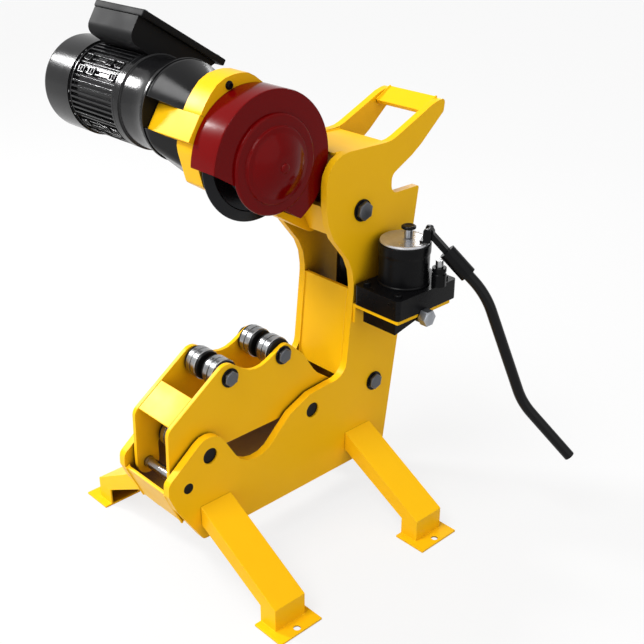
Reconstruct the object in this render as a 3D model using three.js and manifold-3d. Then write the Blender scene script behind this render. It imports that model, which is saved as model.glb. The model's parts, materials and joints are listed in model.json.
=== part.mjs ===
// A hydraulic pipe cutter on four splayed legs: a welded frame with rollers for the pipe,
// a motor-driven cutting wheel on a pivoting head, and a hand pump that forces the head down.
// Millimetres, +X along the pipe, +Y from front to rear, +Z up.

import * as THREE from "three";
import { mergeVertices } from "three/addons/utils/BufferGeometryUtils.js";
import Module from "manifold-3d";

const wasm = await Module();
wasm.setup();

// Driving sizes of the frame
const span = 500;
const height = 740;
const plateGap = 112;
const plateWall = 14;
const crossWall = 8;
const steelSheet = 6;

// Clearances
const fit = 0.3;
const running = 0.4;
const overrun = 2;

// Arc steps
const smooth = THREE.MathUtils.degToRad(20);
const ringSides = 24;
const pinSides = 20;
const tubeSides = 10;
const tubeSteps = 24;
const hexSides = 6;
const weldStep = 1e-4;

// Rollers and their pins
const roller = { radius: 26.5, bore: 12.5, width: 34, centreGap: 12 };
const bigPin = { neck: 12.1, head: 14.2, recess: 3 };
const smallPin = { radius: 12.1, head: 17, headWall: 8 };

// Cradle that carries the small pipes
const cradle = { gap: 84, wall: 8, rod: 9.4 };

// Legs and feet
const leg = { width: 64, wall: 4, reach: 255, drop: 104, rootTop: 150, rootDeep: 37, post: 37, knee: 31 };
const foot = { wall: 4, length: 64, width: 90, hole: 6, toe: 26, inset: 10 };

// Pivots of the frame
const pivotPin = { radius: 14, head: 19.8, headWall: 11, collar: 3 };
const jackPin = { radius: 9, head: 18.6, headWall: 9, collar: 3 };

// Head
const head = { tilt: 32.5, reach: 208.6, wall: 44, side: -54, lift: 116, hub: 38, ear: 10, earGap: 22 };
const tail = { reach: 60, roller: 14, pin: 6, clear: 1 };
const motorAxis = { ahead: 68.6, above: 28.5 };
const spindle = { radius: 18, flange: 34, back: 104, nose: 30, nut: 26, nutWall: 16 };
const cutter = { radius: 104, wall: 12, bevel: 16, tip: 0.8 };
const guard = { clear: 10, wall: 4, behind: 8, relief: 5, front: 48, cut: 57 };
const guardHub = { disc: 81, wall: 6, step: 62, stepWall: 5, cone: 54, coneHigh: 18, tip: 6 };
const stopBlock = { wall: 13, ahead: 125, low: 25, high: 20, far: 117 };
const gearCase = { depth: 64, wall: 6, spindleEnd: 66, motorEnd: 82, gearWall: 18, gearGap: 12,
  pinion: 16.3, mesh: 0.5 };
const motor = { flare: 87, flareRoot: 84, radius: 80, length: 135, fin: 5, bore: 46, shaft: 10, core: 45,
  coreGap: 12 };
const fanCover = { length: 81, radius: 83, back: 77, wall: 3, vents: 10, ventLong: 34, ventWide: 8,
  ventRing: 40 };
const fan = { radius: 62, hub: 20, wall: 16, blades: 7, blade: 4, setback: 24 };
const terminal = { lift: 119, ahead: 4, length: 190, width: 140, lid: 12, taper: 22, inset: 2, corner: 18,
  seat: 76, back: 60 };
const gland = { radius: 12, bore: 5, length: 22, flange: 15, flangeWall: 5 };

// Hand pump on the right side plate
const pump = { x: 122, y: 226, heading: 60, shelf: 410, shelfLong: 107, shelfFront: 73, shelfRear: 62 };
const casting = { wide: 105, deep: 152, high: 37, corner: 8, outX: 4, backY: 2 };
const castingFoot = { wide: 76, low: 21, front: 72, rear: 20, inset: 6, pipeBoss: 9 };
const reservoir = { radius: 46, waist: 44.5, high: 76, shoulder: 52, swell: 7, cap: 4 };
const plug = { neck: 7.5, neckHigh: 16, knob: 13, high: 22, backY: 8 };
const barrel = { out: 62, radius: 13, high: 34, plunger: 7 };
const lever = { out: 42, rise: 133, eye: 9, neck: 14, neckDeep: 10, sleeve: 15, sleeveStart: 44,
  sleeveEnd: 99, wallIn: 5 };
const leverTube = { radius: 10, bend: 103, kneeOut: 182, kneeDown: 304, endOut: 275, endDown: 400 };
const leverBend = { upper: 32, lower: 26 };
const valve = { stem: 7, stemLong: 12, boss: 13, proud: 1, hex: 16, hexLong: 17, ahead: 9, drop: 8 };
const feedPipe = { radius: 5, drop: 24 };

// Lift cylinder
const lift = { radius: 27, wall: 7, top: 470, ram: 18, ramStart: 300, nose: 9.5, noseLong: 32 };

// Places that follow the frame's span and height
const pivotShares = [0.344, 0.7811];
const jackPinShares = [0.422, 0.3149];
const bigPinShares = [[-0.344, 0.3216], [0.112, 0.3135]];
const smallPinShares = [[-0.221, 0.477], [0.0118, 0.477]];
const rodShares = [-0.438, 0.2649];
const legShares = [-0.332, 0.34];

// Outline of a side plate from its front foot round the back: span share, height share, corner share of
// the span
const sideShares = [
  [-0.39, 0.1108, 0.02], [0.48, 0.1108, 0.012], [0.632, 0.7973, 0.008], [0.488, 0.7973, 0.03],
  [0.488, 0.8432, 0.034], [0.612, 0.8865, 0.24], [0.746, 0.9635, 0.012], [0.752, 0.9946, 0.014],
  [0.702, 0.9919, 0.1], [0.608, 0.9632, 0.3], [0.48, 0.925, 0.12], [0.178, 0.9284, 0.1],
  [0.178, 0.7446, 0.24], [0.309, 0.6568, 0.2], [0.309, 0.5811, 0.1], [0.274, 0.3608, 0.066],
  [0.035, 0.3743, 0.31], [-0.162, 0.2034, 0.104], [-0.326, 0.3926, 0.069], [-0.514, 0.2946, 0.03],
  [-0.516, 0.2649, 0.02], [-0.49, 0.2216, 0.04],
];

// Outline of a cradle plate, the same shares
const cradleShares = [
  [-0.482, 0.2351, 0.044], [-0.394, 0.2351, 0.044], [-0.394, 0.3135, 0.02], [0.232, 0.3135, 0.012],
  [0.232, 0.3595, 0.01], [0.166, 0.3932, 0.08], [0.102, 0.4595, 0.08], [0.028, 0.5074, 0.036],
  [-0.112, 0.4595, 0.1], [-0.232, 0.5189, 0.044], [-0.476, 0.4054, 0.036], [-0.482, 0.29, 0.04],
];

// Outline of the head's cheek, from the pivot: ahead and above, corners, as shares of the head's reach
const cheekShares = [
  [0.05, -0.321, 0.1], [0.67, -0.321, 0.03], [0.72, -0.369, 0.03], [1.307, -0.369, 0.05],
  [1.53, -0.16, 0.2], [1.6, 0.12, 0.35], [1.57, 0.4, 0.3], [1.34, 0.555, 0.2],
  [0.96, 0.52, 0.2], [0.48, 0.225, 0.2], [-0.19, 0.16, 0.12],
  [-0.17, -0.1, 0.08],
];
const cheekBackCorner = 9;
const nearCheekShares = [
  [-0.2, -0.302, 0.1], [0.086, -0.302, 0.02], [0.33, -0.144, 0.03], [0.4, 0, 0.06],
  [0.34, 0.2, 0.05], [-0.2, 0.2, 0.14],
];

// Ends of the sloping cross plates: span shares and height shares
const columnShares = [[0.276, 0.354], [0.311, 0.585]];
const basePlateShares = [[-0.512, 0.262], [-0.452, 0.168]];
const backPlateShares = [[0.463, 0.125], [0.483, 0.262]];
const gripShares = [[0.664, 0.9703], [0.738, 0.9965]];
const coverEndShare = 0.48;
const coverHeightShares = [0.9243, 0.9209];
const cradlePlateShares = [[-0.3636, 0.4573], [-0.4614, 0.4116]];
const armPlateShares = [[0.09, -0.29], [0.36, -0.12]];

const yellow = { color: 0xf2c322, roughness: 0.38, metalness: 0.1 };
const red = { color: 0x8c1018, roughness: 0.3, metalness: 0.1 };
const black = { color: 0x141416, roughness: 0.35, metalness: 0.2 };
const grey = { color: 0x6f7276, roughness: 0.45, metalness: 0.6 };
const steel = { color: 0xb9bcc0, roughness: 0.28, metalness: 0.95 };
const zinc = { color: 0xa6aaae, roughness: 0.35, metalness: 0.9 };
const darkSteel = { color: 0x4b4d50, roughness: 0.4, metalness: 0.9 };

// Frame places in millimetres
const place = ([alongShare, upShare]) => new THREE.Vector2(alongShare * span, upShare * height);
const pivot = place(pivotShares);
const jackEye = place(jackPinShares);
const bigPins = bigPinShares.map(place);
const smallPins = smallPinShares.map(place);
const cradleRod = place(rodShares);
const plateIn = plateGap / 2;
const plateOut = plateIn + plateWall;
const weldIn = plateIn - fit;
const tilt = THREE.MathUtils.degToRad(head.tilt);
const guardRadius = cutter.radius + guard.clear + guard.wall;
const feedLevel = pump.shelf - feedPipe.drop;

const machine = new THREE.Group();
const headGroup = new THREE.Group();
headGroup.position.set(0, pivot.x, pivot.y);
headGroup.rotation.x = -tilt;
machine.add(headGroup);

const pumpGroup = new THREE.Group();
pumpGroup.position.set(pump.x, pump.y, pump.shelf);
machine.add(pumpGroup);

const leverGroup = new THREE.Group();
leverGroup.rotation.z = THREE.MathUtils.degToRad(90 - pump.heading);
pumpGroup.add(leverGroup);

function solid(geometry) {
  const bare = geometry.clone();
  bare.deleteAttribute("normal");
  bare.deleteAttribute("uv");
  const merged = mergeVertices(bare, weldStep);
  const mesh = new wasm.Mesh({
    numProp: 3,
    vertProperties: Float32Array.from(merged.attributes.position.array),
    triVerts: Uint32Array.from(merged.index.array),
  });
  return new wasm.Manifold(mesh);
}

function toGeometry(body) {
  const mesh = body.getMesh();
  const geometry = new THREE.BufferGeometry();
  geometry.setAttribute("position", new THREE.BufferAttribute(mesh.vertProperties, 3));
  geometry.setIndex(new THREE.BufferAttribute(mesh.triVerts, 1));
  geometry.computeVertexNormals();
  return geometry;
}

function join(...geometries) {
  return toGeometry(geometries.map(solid).reduce((whole, piece) => whole.add(piece)));
}

function cut(geometry, ...tools) {
  return toGeometry(tools.map(solid).reduce((whole, tool) => whole.subtract(tool), solid(geometry)));
}

function add(parent, name, geometry, look) {
  const mesh = new THREE.Mesh(geometry, new THREE.MeshStandardMaterial(look));
  mesh.name = name;
  parent.add(mesh);
  return mesh;
}

// A closed outline whose corners are rounded: each corner is [across, up, radius]
function rounded(corners) {
  const spots = corners.map(([across, up]) => new THREE.Vector2(across, up));
  const points = [];
  corners.forEach((corner, index) => {
    const here = spots[index];
    const radius = corner[2] ?? 0;
    if (radius === 0) {
      points.push(here);
      return;
    }
    const back = spots.at(index - 1).clone().sub(here).normalize();
    const ahead = spots[(index + 1) % spots.length].clone().sub(here).normalize();
    const half = Math.acos(back.dot(ahead)) / 2;
    const turn = Math.PI - 2 * half;
    const sense = -Math.sign(back.cross(ahead));
    const inward = back.clone().add(ahead).normalize();
    const centre = here.clone().addScaledVector(inward, radius / Math.sin(half));
    const start = here.clone().addScaledVector(back, radius / Math.tan(half));
    const steps = Math.max(1, Math.ceil(turn / smooth));
    for (let step = 0; step <= steps; step += 1) {
      points.push(start.clone().rotateAround(centre, sense * turn * step / steps));
    }
  });
  return new THREE.Shape(points);
}

// Points along an arc about a centre, from one angle to another
function arc(centre, radius, from, to) {
  const steps = Math.max(1, Math.ceil(Math.abs(to - from) / smooth));
  return Array.from({ length: steps + 1 }, (_, step) => {
    const turn = from + (to - from) * step / steps;
    return new THREE.Vector2(centre.x + radius * Math.cos(turn), centre.y + radius * Math.sin(turn));
  });
}

function outline(shares, along, up) {
  return rounded(shares.map(([a, b, corner]) => [a * along, b * up, corner * along]));
}

function box(low, high) {
  const size = high.map((value, axis) => value - low[axis]);
  const geometry = new THREE.BoxGeometry(...size);
  return geometry.translate(...low.map((value, axis) => value + size[axis] / 2));
}

function extrude(shape, depth) {
  return new THREE.ExtrudeGeometry(shape, { depth, bevelEnabled: false, curveSegments: pinSides / 2 });
}

// An outline drawn in Y and Z, drawn out from one X to another
function acrossX(shape, from, to) {
  const turned = new THREE.Matrix4().makeBasis(
    new THREE.Vector3(0, 1, 0), new THREE.Vector3(0, 0, 1), new THREE.Vector3(1, 0, 0));
  return extrude(shape, to - from).applyMatrix4(turned).translate(from, 0, 0);
}

// An outline drawn in X and Z, drawn out from one Y to another
function acrossY(shape, from, to) {
  return extrude(shape, to - from).rotateX(Math.PI / 2).translate(0, to, 0);
}

function acrossZ(shape, from, to) {
  return extrude(shape, to - from).translate(0, 0, from);
}

// A turned piece about an axis parallel to X: the profile is [radius, x], and it closes on itself
function turnedX(profile, y, z, sides = ringSides) {
  const points = profile.map(([radius, x]) => new THREE.Vector2(radius, x));
  return orient(new THREE.LatheGeometry(points, sides)).rotateZ(-Math.PI / 2).translate(0, y, z);
}

function turnedZ(profile, x, y, sides = ringSides) {
  const points = profile.map(([radius, z]) => new THREE.Vector2(radius, z));
  return orient(new THREE.LatheGeometry(points, sides)).rotateX(Math.PI / 2).translate(x, y, 0);
}

// Turns the faces of a closed geometry outward
function orient(geometry) {
  const merged = mergeVertices(geometry.deleteAttribute("normal").deleteAttribute("uv"), weldStep);
  const spots = merged.attributes.position;
  const faces = merged.index.array;
  const corners = [new THREE.Vector3(), new THREE.Vector3(), new THREE.Vector3()];
  const kept = [];
  let volume = 0;
  for (let face = 0; face < faces.length; face += 3) {
    const [a, b, c] = faces.slice(face, face + 3);
    if (a === b || b === c || c === a) {
      continue;
    }
    corners.forEach((corner, index) => corner.fromBufferAttribute(spots, faces[face + index]));
    volume += corners[0].dot(corners[1].clone().cross(corners[2]));
    kept.push([a, b, c]);
  }
  merged.setIndex(kept.flatMap(([a, b, c]) => (volume < 0 ? [a, c, b] : [a, b, c])));
  return merged;
}

function rodX(radius, from, to, y, z, sides = pinSides) {
  return turnedX([[0, from], [radius, from], [radius, to], [0, to]], y, z, sides);
}

function rodZ(radius, from, to, x, y, sides = pinSides) {
  return turnedZ([[0, from], [radius, from], [radius, to], [0, to]], x, y, sides);
}

// A flat bar seen from the side: it runs between two points, with its wall below the line
function bar(from, to, wall) {
  const along = to.clone().sub(from).normalize();
  const down = new THREE.Vector2(along.y, -along.x).multiplyScalar(wall);
  return new THREE.Shape([from, to, to.clone().add(down), from.clone().add(down)]);
}

// The round path that a pin takes past the cradle when the cradle is lifted about its rod
function pinSlot(pin, radius, from, to) {
  const arm = pin.clone().sub(cradleRod);
  const ring = arm.length();
  const start = arm.angle();
  const sweep = (radius + cradle.wall) * 2 / ring;
  return acrossX(new THREE.Shape([
    ...arc(cradleRod, ring + radius, start - sweep, start),
    ...arc(pin, radius, start, start + Math.PI).slice(1, -1),
    ...arc(cradleRod, ring - radius, start, start - sweep),
  ]), from, to);
}

const sides = { right: 1, left: -1 };
const spread = (side, near, far) => (side > 0 ? [near, far] : [-far, -near]);

function framePlates() {
  for (const [name, side] of Object.entries(sides)) {
    const [from, to] = spread(side, plateIn, plateOut);
    const plate = acrossX(outline(sideShares, span, height), from, to);
    const holes = [
      ...bigPins.map((pin) => [bigPin.head + fit, pin]),
      [pivotPin.radius + fit, pivot],
      [jackPin.radius + fit, jackEye],
      [cradle.rod + fit, cradleRod],
    ].map(([radius, spot]) => rodX(radius, from - overrun, to + overrun, spot.x, spot.y));
    if (side > 0) {
      holes.push(rodX(feedPipe.radius + fit, from - overrun, to + overrun, liftAt(feedLevel).x,
        feedLevel));
    }
    add(machine, `side_plate_${name}`, cut(plate, ...holes), yellow);
  }
}

// Where the cheek's back edge passes a level, seen from the frame
function cheekBack(level) {
  const edge = cheekShares.slice(cheekBackCorner, cheekBackCorner + 2).map(([ahead, above]) => {
    const spot = new THREE.Vector2(-ahead, above).multiplyScalar(head.reach);
    return spot.rotateAround(new THREE.Vector2(0, 0), -tilt).add(pivot);
  });
  const [corner, end] = edge;
  return corner.x + (corner.y - level) / (corner.y - end.y) * (end.x - corner.x);
}

function crossPlates() {
  const guardBack = pivot.x - head.reach * Math.cos(tilt) + guardRadius;
  const [coverFront, coverRear] = coverHeightShares.map((upShare) => place([coverEndShare, upShare]));
  coverFront.x = Math.max(guardBack, cheekBack(coverFront.y - steelSheet)) + guard.behind;
  const plates = {
    column_front_plate: [columnShares.map(place), crossWall],
    front_base_plate: [basePlateShares.map(place), -steelSheet],
    rear_base_plate: [backPlateShares.map(place), crossWall],
    top_cover_plate: [[coverFront, coverRear], steelSheet],
    handle_grip: [gripShares.map(place), crossWall + fit],
  };
  for (const [name, [[from, to], wall]] of Object.entries(plates)) {
    add(machine, name, orient(acrossX(bar(from, to, wall), -weldIn, weldIn)), yellow);
  }
}

function legs() {
  for (const [name, side] of Object.entries(sides)) {
    ["front", "rear"].forEach((end, index) => {
      const y = legShares[index] * span;
      const root = plateOut + fit;
      const top = leg.rootTop - leg.drop;
      const heel = leg.reach - leg.post;
      const skin = new THREE.Shape([
        new THREE.Vector2(root, leg.rootTop),
        new THREE.Vector2(root, leg.rootTop - leg.rootDeep),
        new THREE.Vector2(heel, leg.knee + foot.wall),
        new THREE.Vector2(heel, foot.wall / 2),
        new THREE.Vector2(leg.reach, foot.wall / 2),
        new THREE.Vector2(leg.reach, top),
      ]);
      const inside = new THREE.Shape([
        new THREE.Vector2(root - overrun, leg.rootTop - leg.wall),
        new THREE.Vector2(root - overrun, 0),
        new THREE.Vector2(leg.reach - leg.wall, 0),
        new THREE.Vector2(leg.reach - leg.wall, top - leg.wall),
      ]);
      const half = leg.width / 2;
      const shell = cut(acrossY(skin, y - half, y + half),
        acrossY(inside, y - half + leg.wall, y + half - leg.wall));
      const pad = box([heel, y - foot.width / 2, 0], [heel + foot.length, y + foot.width / 2, foot.wall]);
      const bolt = rodZ(foot.hole, -overrun, foot.wall + overrun, leg.reach + foot.toe - foot.inset, y);
      const shape = cut(join(shell, pad), bolt);
      add(machine, `leg_${end}_${name}`, side > 0 ? shape : mirrored(shape), yellow);
    });
  }
}

function mirrored(geometry) {
  return orient(geometry.clone().scale(-1, 1, 1));
}

function wheel(radius, bore, from, to, y, z) {
  return turnedX([[bore, from], [radius, from], [radius, to], [bore, to], [bore, from]], y, z);
}

function rollers() {
  const near = roller.centreGap / 2;
  const far = near + roller.width;
  const stations = {
    frame_roller_front: bigPins[0], frame_roller_rear: bigPins[1],
    cradle_roller_front: smallPins[0], cradle_roller_rear: smallPins[1],
  };
  for (const [station, spot] of Object.entries(stations)) {
    for (const [name, side] of Object.entries(sides)) {
      const [from, to] = spread(side, near, far);
      add(machine, `${station}_${name}`, wheel(roller.radius, roller.bore, from, to, spot.x, spot.y),
        steel);
    }
  }
}

function bigRollerPins() {
  ["front", "rear"].forEach((end, index) => {
    const { x, y } = bigPins[index];
    const outer = plateOut - bigPin.recess;
    const pin = turnedX([
      [0, -outer], [bigPin.head, -outer], [bigPin.head, -plateIn], [bigPin.neck, -plateIn],
      [bigPin.neck, plateIn], [bigPin.head, plateIn], [bigPin.head, outer], [0, outer],
    ], x, y);
    add(machine, `frame_pin_${end}`, pin, black);
  });
}

// A shank through both plates, with a collar and a hexagon at each end
function throughBolt(pin, reach, spot) {
  const ends = Object.values(sides).flatMap((side) => [
    rodX(pin.head, ...spread(side, reach, reach + pin.collar), spot.x, spot.y),
    rodX(pin.head - pin.collar, ...spread(side, reach + pin.collar / 2, reach + pin.headWall), spot.x,
    spot.y, hexSides),
  ]);
  return join(rodX(pin.radius, -reach - pin.headWall / 2, reach + pin.headWall / 2, spot.x, spot.y),
    ...ends);
}

function framePins() {
  const reach = plateOut + fit;
  add(machine, "pivot_bolt", throughBolt(pivotPin, reach, pivot), zinc);
  add(machine, "cylinder_bolt", throughBolt(jackPin, reach, jackEye), zinc);
  add(machine, "cradle_rod", rodX(cradle.rod, fit - plateOut, plateOut - fit, cradleRod.x, cradleRod.y),
    steel);
}

function cradleParts() {
  const inner = cradle.gap / 2;
  const outer = inner + cradle.wall;
  for (const [name, side] of Object.entries(sides)) {
    const [from, to] = spread(side, inner, outer);
    const plate = acrossX(outline(cradleShares, span, height), from, to);
    const tools = [
      ...bigPins.map((pin) => pinSlot(pin, bigPin.neck + running, from - overrun, to + overrun)),
      ...smallPins.map((pin) => rodX(smallPin.radius + fit, from - overrun, to + overrun, pin.x, pin.y)),
      rodX(cradle.rod + running, from - overrun, to + overrun, cradleRod.x, cradleRod.y),
    ];
    add(machine, `cradle_plate_${name}`, cut(plate, ...tools), yellow);
  }
  const [upper, lower] = cradlePlateShares.map(place);
  const tie = orient(acrossX(bar(lower, upper, steelSheet), fit - inner, inner - fit));
  add(machine, "cradle_cross_plate", tie, yellow);
  ["front", "rear"].forEach((end, index) => {
    const spot = smallPins[index];
    const reach = outer + fit;
    const pin = join(
      rodX(smallPin.radius, -reach - smallPin.headWall / 2, reach + smallPin.headWall / 2, spot.x, spot.y),
      rodX(smallPin.head, reach, reach + smallPin.headWall, spot.x, spot.y, pinSides),
      rodX(smallPin.head, -reach - smallPin.headWall, -reach, spot.x, spot.y, pinSides),
    );
    add(machine, `cradle_pin_${end}`, pin, darkSteel);
  });
}

// Places on the head run from the pivot: ahead is -Y and above is +Z
const spindleAt = new THREE.Vector2(-head.reach, 0);
const motorAt = new THREE.Vector2(-head.reach - motorAxis.ahead, motorAxis.above);
const cheekFace = head.side + head.wall;
const gearRadius = motorAt.distanceTo(spindleAt) - gearCase.pinion - gearCase.mesh;

function headOutline(shares) {
  const flipped = shares.map(([ahead, above, corner]) => [-ahead * head.reach, above * head.reach,
    corner * head.reach]);
  return rounded(flipped.reverse());
}

// The hull round two circles, as an outline in Y and Z
function capsule(a, ra, b, rb) {
  const line = b.clone().sub(a);
  const lean = Math.acos((ra - rb) / line.length());
  const heading = line.angle();
  return new THREE.Shape([
    ...arc(a, ra, heading + lean, heading - lean + 2 * Math.PI),
    ...arc(b, rb, heading - lean, heading + lean),
  ]);
}

function headArm() {
  const origin = new THREE.Vector2(0, 0);
  const tailAt = new THREE.Vector2(tail.reach, 0);
  const edge = -head.side;
  const cheek = acrossX(headOutline(cheekShares), head.side, cheekFace);
  const nearCheek = acrossX(headOutline(nearCheekShares), edge - crossWall, edge);
  const hub = rodX(head.hub, head.side, edge, 0, 0, ringSides);
  const [low, high] = armPlateShares.map(([ahead, above]) => new THREE.Vector2(-ahead * head.reach,
    above * head.reach));
  const web = orient(acrossX(bar(high, low, -crossWall), cheekFace - overrun, edge - crossWall + overrun));
  const ears = [1, -1].map((side) => {
    const [from, to] = spread(side, head.earGap / 2, head.earGap / 2 + head.ear);
    return acrossX(capsule(origin, head.hub, tailAt, tail.roller - overrun), from, to);
  });
  const bores = [
    rodX(pivotPin.radius + running, head.side - overrun, edge + overrun, 0, 0),
    rodX(spindle.radius + running, head.side - overrun, cheekFace + overrun, spindleAt.x, spindleAt.y),
    rodX(guardRadius + guard.relief, cheekFace + fit, edge + overrun, spindleAt.x, spindleAt.y, ringSides),
    box([-stopBlock.far, -head.reach - stopBlock.ahead - head.lift, -stopBlock.low - fit],
      [cheekFace + overrun, -head.reach - stopBlock.ahead + stopBlock.wall + fit, stopBlock.high + fit]),
  ];
  const half = head.earGap / 2;
  const tailPin = rodX(tail.pin, -half - head.ear, half + head.ear, tailAt.x, tailAt.y);
  add(headGroup, "head_arm", join(cut(join(cheek, nearCheek, hub, web, ...ears), ...bores), tailPin),
    yellow);
  const tailRoller = turnedX([
    [tail.pin + running, fit - half], [tail.roller, fit - half], [tail.roller, half - fit],
    [tail.pin + running, half - fit], [tail.pin + running, fit - half],
  ], tailAt.x, tailAt.y, pinSides);
  add(headGroup, "tail_roller", tailRoller, steel);
}

function headStop() {
  const face = -head.reach - stopBlock.ahead;
  const plate = box([-stopBlock.far, face, -stopBlock.low],
    [cheekFace, face + stopBlock.wall, stopBlock.high]);
  add(headGroup, "stop_block", plate, yellow);
}

function cutterParts() {
  const { x: y, y: z } = spindleAt;
  const half = cutter.wall / 2;
  const shaft = turnedX([
    [0, -spindle.back], [spindle.radius, -spindle.back], [spindle.radius, cheekFace + fit],
    [spindle.flange, cheekFace + fit],
    [spindle.flange, -half - fit], [spindle.radius, -half - fit], [spindle.radius, spindle.nose],
    [0, spindle.nose],
  ], y, z);
  const nut = rodX(spindle.nut, half + fit, half + spindle.nutWall, y, z, hexSides);
  add(headGroup, "spindle", join(shaft, nut), steel);
  const blade = turnedX([
    [spindle.radius + fit, -half], [cutter.radius - cutter.bevel, -half], [cutter.radius, -cutter.tip],
    [cutter.radius, cutter.tip], [cutter.radius - cutter.bevel, half], [spindle.radius + fit, half],
    [spindle.radius + fit, -half],
  ], y, z, ringSides);
  add(headGroup, "cutting_wheel", blade, darkSteel);
  const gearFrom = head.side - gearCase.gearGap - gearCase.gearWall;
  const gear = turnedX([
    [spindle.radius + fit, gearFrom], [gearRadius, gearFrom], [gearRadius, gearFrom + gearCase.gearWall],
    [spindle.radius + fit, gearFrom + gearCase.gearWall], [spindle.radius + fit, gearFrom],
  ], y, z);
  add(headGroup, "spindle_gear", gear, darkSteel);
}

function guardParts() {
  const { x: y, y: z } = spindleAt;
  const { wall, front, cut: low } = guard;
  const radius = guardRadius;
  const back = cheekFace + fit;
  const drum = turnedX([
    [0, front - wall], [radius - wall, front - wall], [radius - wall, back], [radius, back],
    [radius, front], [0, front],
  ], y, z, ringSides);
  const opening = box([back - overrun, y - radius - overrun, z - radius - overrun],
    [front + overrun, y + radius + overrun, z - low]);
  add(headGroup, "cutter_guard", cut(drum, opening), red);
  const { disc, wall: discWall, step, stepWall, cone, coneHigh, tip } = guardHub;
  const root = front + fit;
  const cap = turnedX([
    [0, root], [disc, root], [disc, root + discWall], [step, root + discWall],
    [step, root + discWall + stepWall],
    [cone, root + discWall + stepWall], [tip, root + discWall + stepWall + coneHigh],
    [0, root + discWall + stepWall + coneHigh],
  ], y, z, ringSides);
  add(headGroup, "guard_hub", cap, red);
}

function gearHousing() {
  const near = head.side - fit;
  const far = near - gearCase.depth;
  const { wall, spindleEnd, motorEnd } = gearCase;
  const shell = acrossX(capsule(spindleAt, spindleEnd, motorAt, motorEnd), far, near);
  const room = acrossX(capsule(spindleAt, spindleEnd - wall, motorAt, motorEnd - wall), far + wall,
    near + overrun);
  const notch = (spare) => box(
    [far - overrun, -head.reach - stopBlock.ahead - head.lift, -stopBlock.low - spare],
    [near + overrun * 2, -head.reach - stopBlock.ahead + stopBlock.wall + spare, stopBlock.high + spare]);
  const hollow = cut(room, notch(fit + wall));
  const hole = rodX(motor.shaft + running, far - overrun, far + wall + overrun, motorAt.x, motorAt.y);
  add(headGroup, "gear_housing", cut(shell, hollow, hole, notch(fit)), black);
  return far;
}

function motorParts(start) {
  const { x: y, y: z } = motorAt;
  const flareFrom = start - fit;
  const bodyFrom = flareFrom - motor.flare;
  const bodyTo = bodyFrom - fit - motor.length;
  const bore = motor.shaft + running;
  const flare = turnedX([
    [bore, flareFrom], [bore, bodyFrom], [motor.radius, bodyFrom],
    [motor.radius, bodyFrom + motor.flare / 2],
    [motor.flareRoot, flareFrom - motor.fin], [motor.flareRoot, flareFrom], [bore, flareFrom],
  ], y, z);
  add(headGroup, "motor_flange", flare, black);
  const endWall = bodyTo + motor.coreGap / 2;
  const frame = turnedX([
    [motor.bore, bodyFrom - fit], [motor.bore, endWall], [bore, endWall], [bore, bodyTo],
    [motor.radius, bodyTo],
    [motor.radius, bodyFrom - fit], [motor.bore, bodyFrom - fit],
  ], y, z);
  add(headGroup, "motor_frame", frame, black);
  const coverFrom = bodyTo - fit;
  const coverTo = coverFrom - fanCover.length;
  const { radius, back, wall } = fanCover;
  const round = radius - back;
  const cup = turnedX([
    [0, coverTo + wall], [back - wall, coverTo + wall], [radius - wall, coverTo + wall + round],
    [radius - wall, coverFrom],
    [radius, coverFrom], [radius, coverTo + round], [back, coverTo], [0, coverTo],
  ], y, z);
  const vents = Array.from({ length: fanCover.vents }, (_, index) => {
    const slot = box([coverTo - overrun, fanCover.ventRing - fanCover.ventLong / 2, -fanCover.ventWide / 2],
      [coverTo + wall + overrun, fanCover.ventRing + fanCover.ventLong / 2, fanCover.ventWide / 2]);
    return slot.rotateX(index / fanCover.vents * 2 * Math.PI).translate(0, y, z);
  });
  add(headGroup, "fan_cover", cut(cup, ...vents), black);
  const fanFrom = coverFrom - fan.setback;
  const shaftEnd = fanFrom - fan.wall - fan.setback / 4;
  const pinionFrom = head.side - gearCase.gearGap;
  const rotor = turnedX([
    [0, pinionFrom], [gearCase.pinion, pinionFrom], [gearCase.pinion, pinionFrom - gearCase.gearWall],
    [motor.shaft, pinionFrom - gearCase.gearWall], [motor.shaft, bodyFrom - motor.coreGap],
    [motor.core, bodyFrom - motor.coreGap], [motor.core, bodyTo + motor.coreGap],
    [motor.shaft, bodyTo + motor.coreGap], [motor.shaft, shaftEnd], [0, shaftEnd],
  ], y, z);
  add(headGroup, "motor_rotor", rotor, steel);
  const hub = rodX(fan.hub, fanFrom - fan.wall, fanFrom, y, z);
  const blades = Array.from({ length: fan.blades }, (_, index) => {
    const blade = box([fanFrom - fan.wall, 0, -fan.blade / 2], [fanFrom, fan.radius, fan.blade / 2]);
    return blade.rotateX(index / fan.blades * 2 * Math.PI).translate(0, y, z);
  });
  const shaftHole = rodX(motor.shaft + fit, fanFrom - fan.wall - overrun, fanFrom + overrun, y, z);
  add(headGroup, "cooling_fan", cut(join(hub, ...blades), shaftHole), black);
  return bodyFrom;
}

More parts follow.
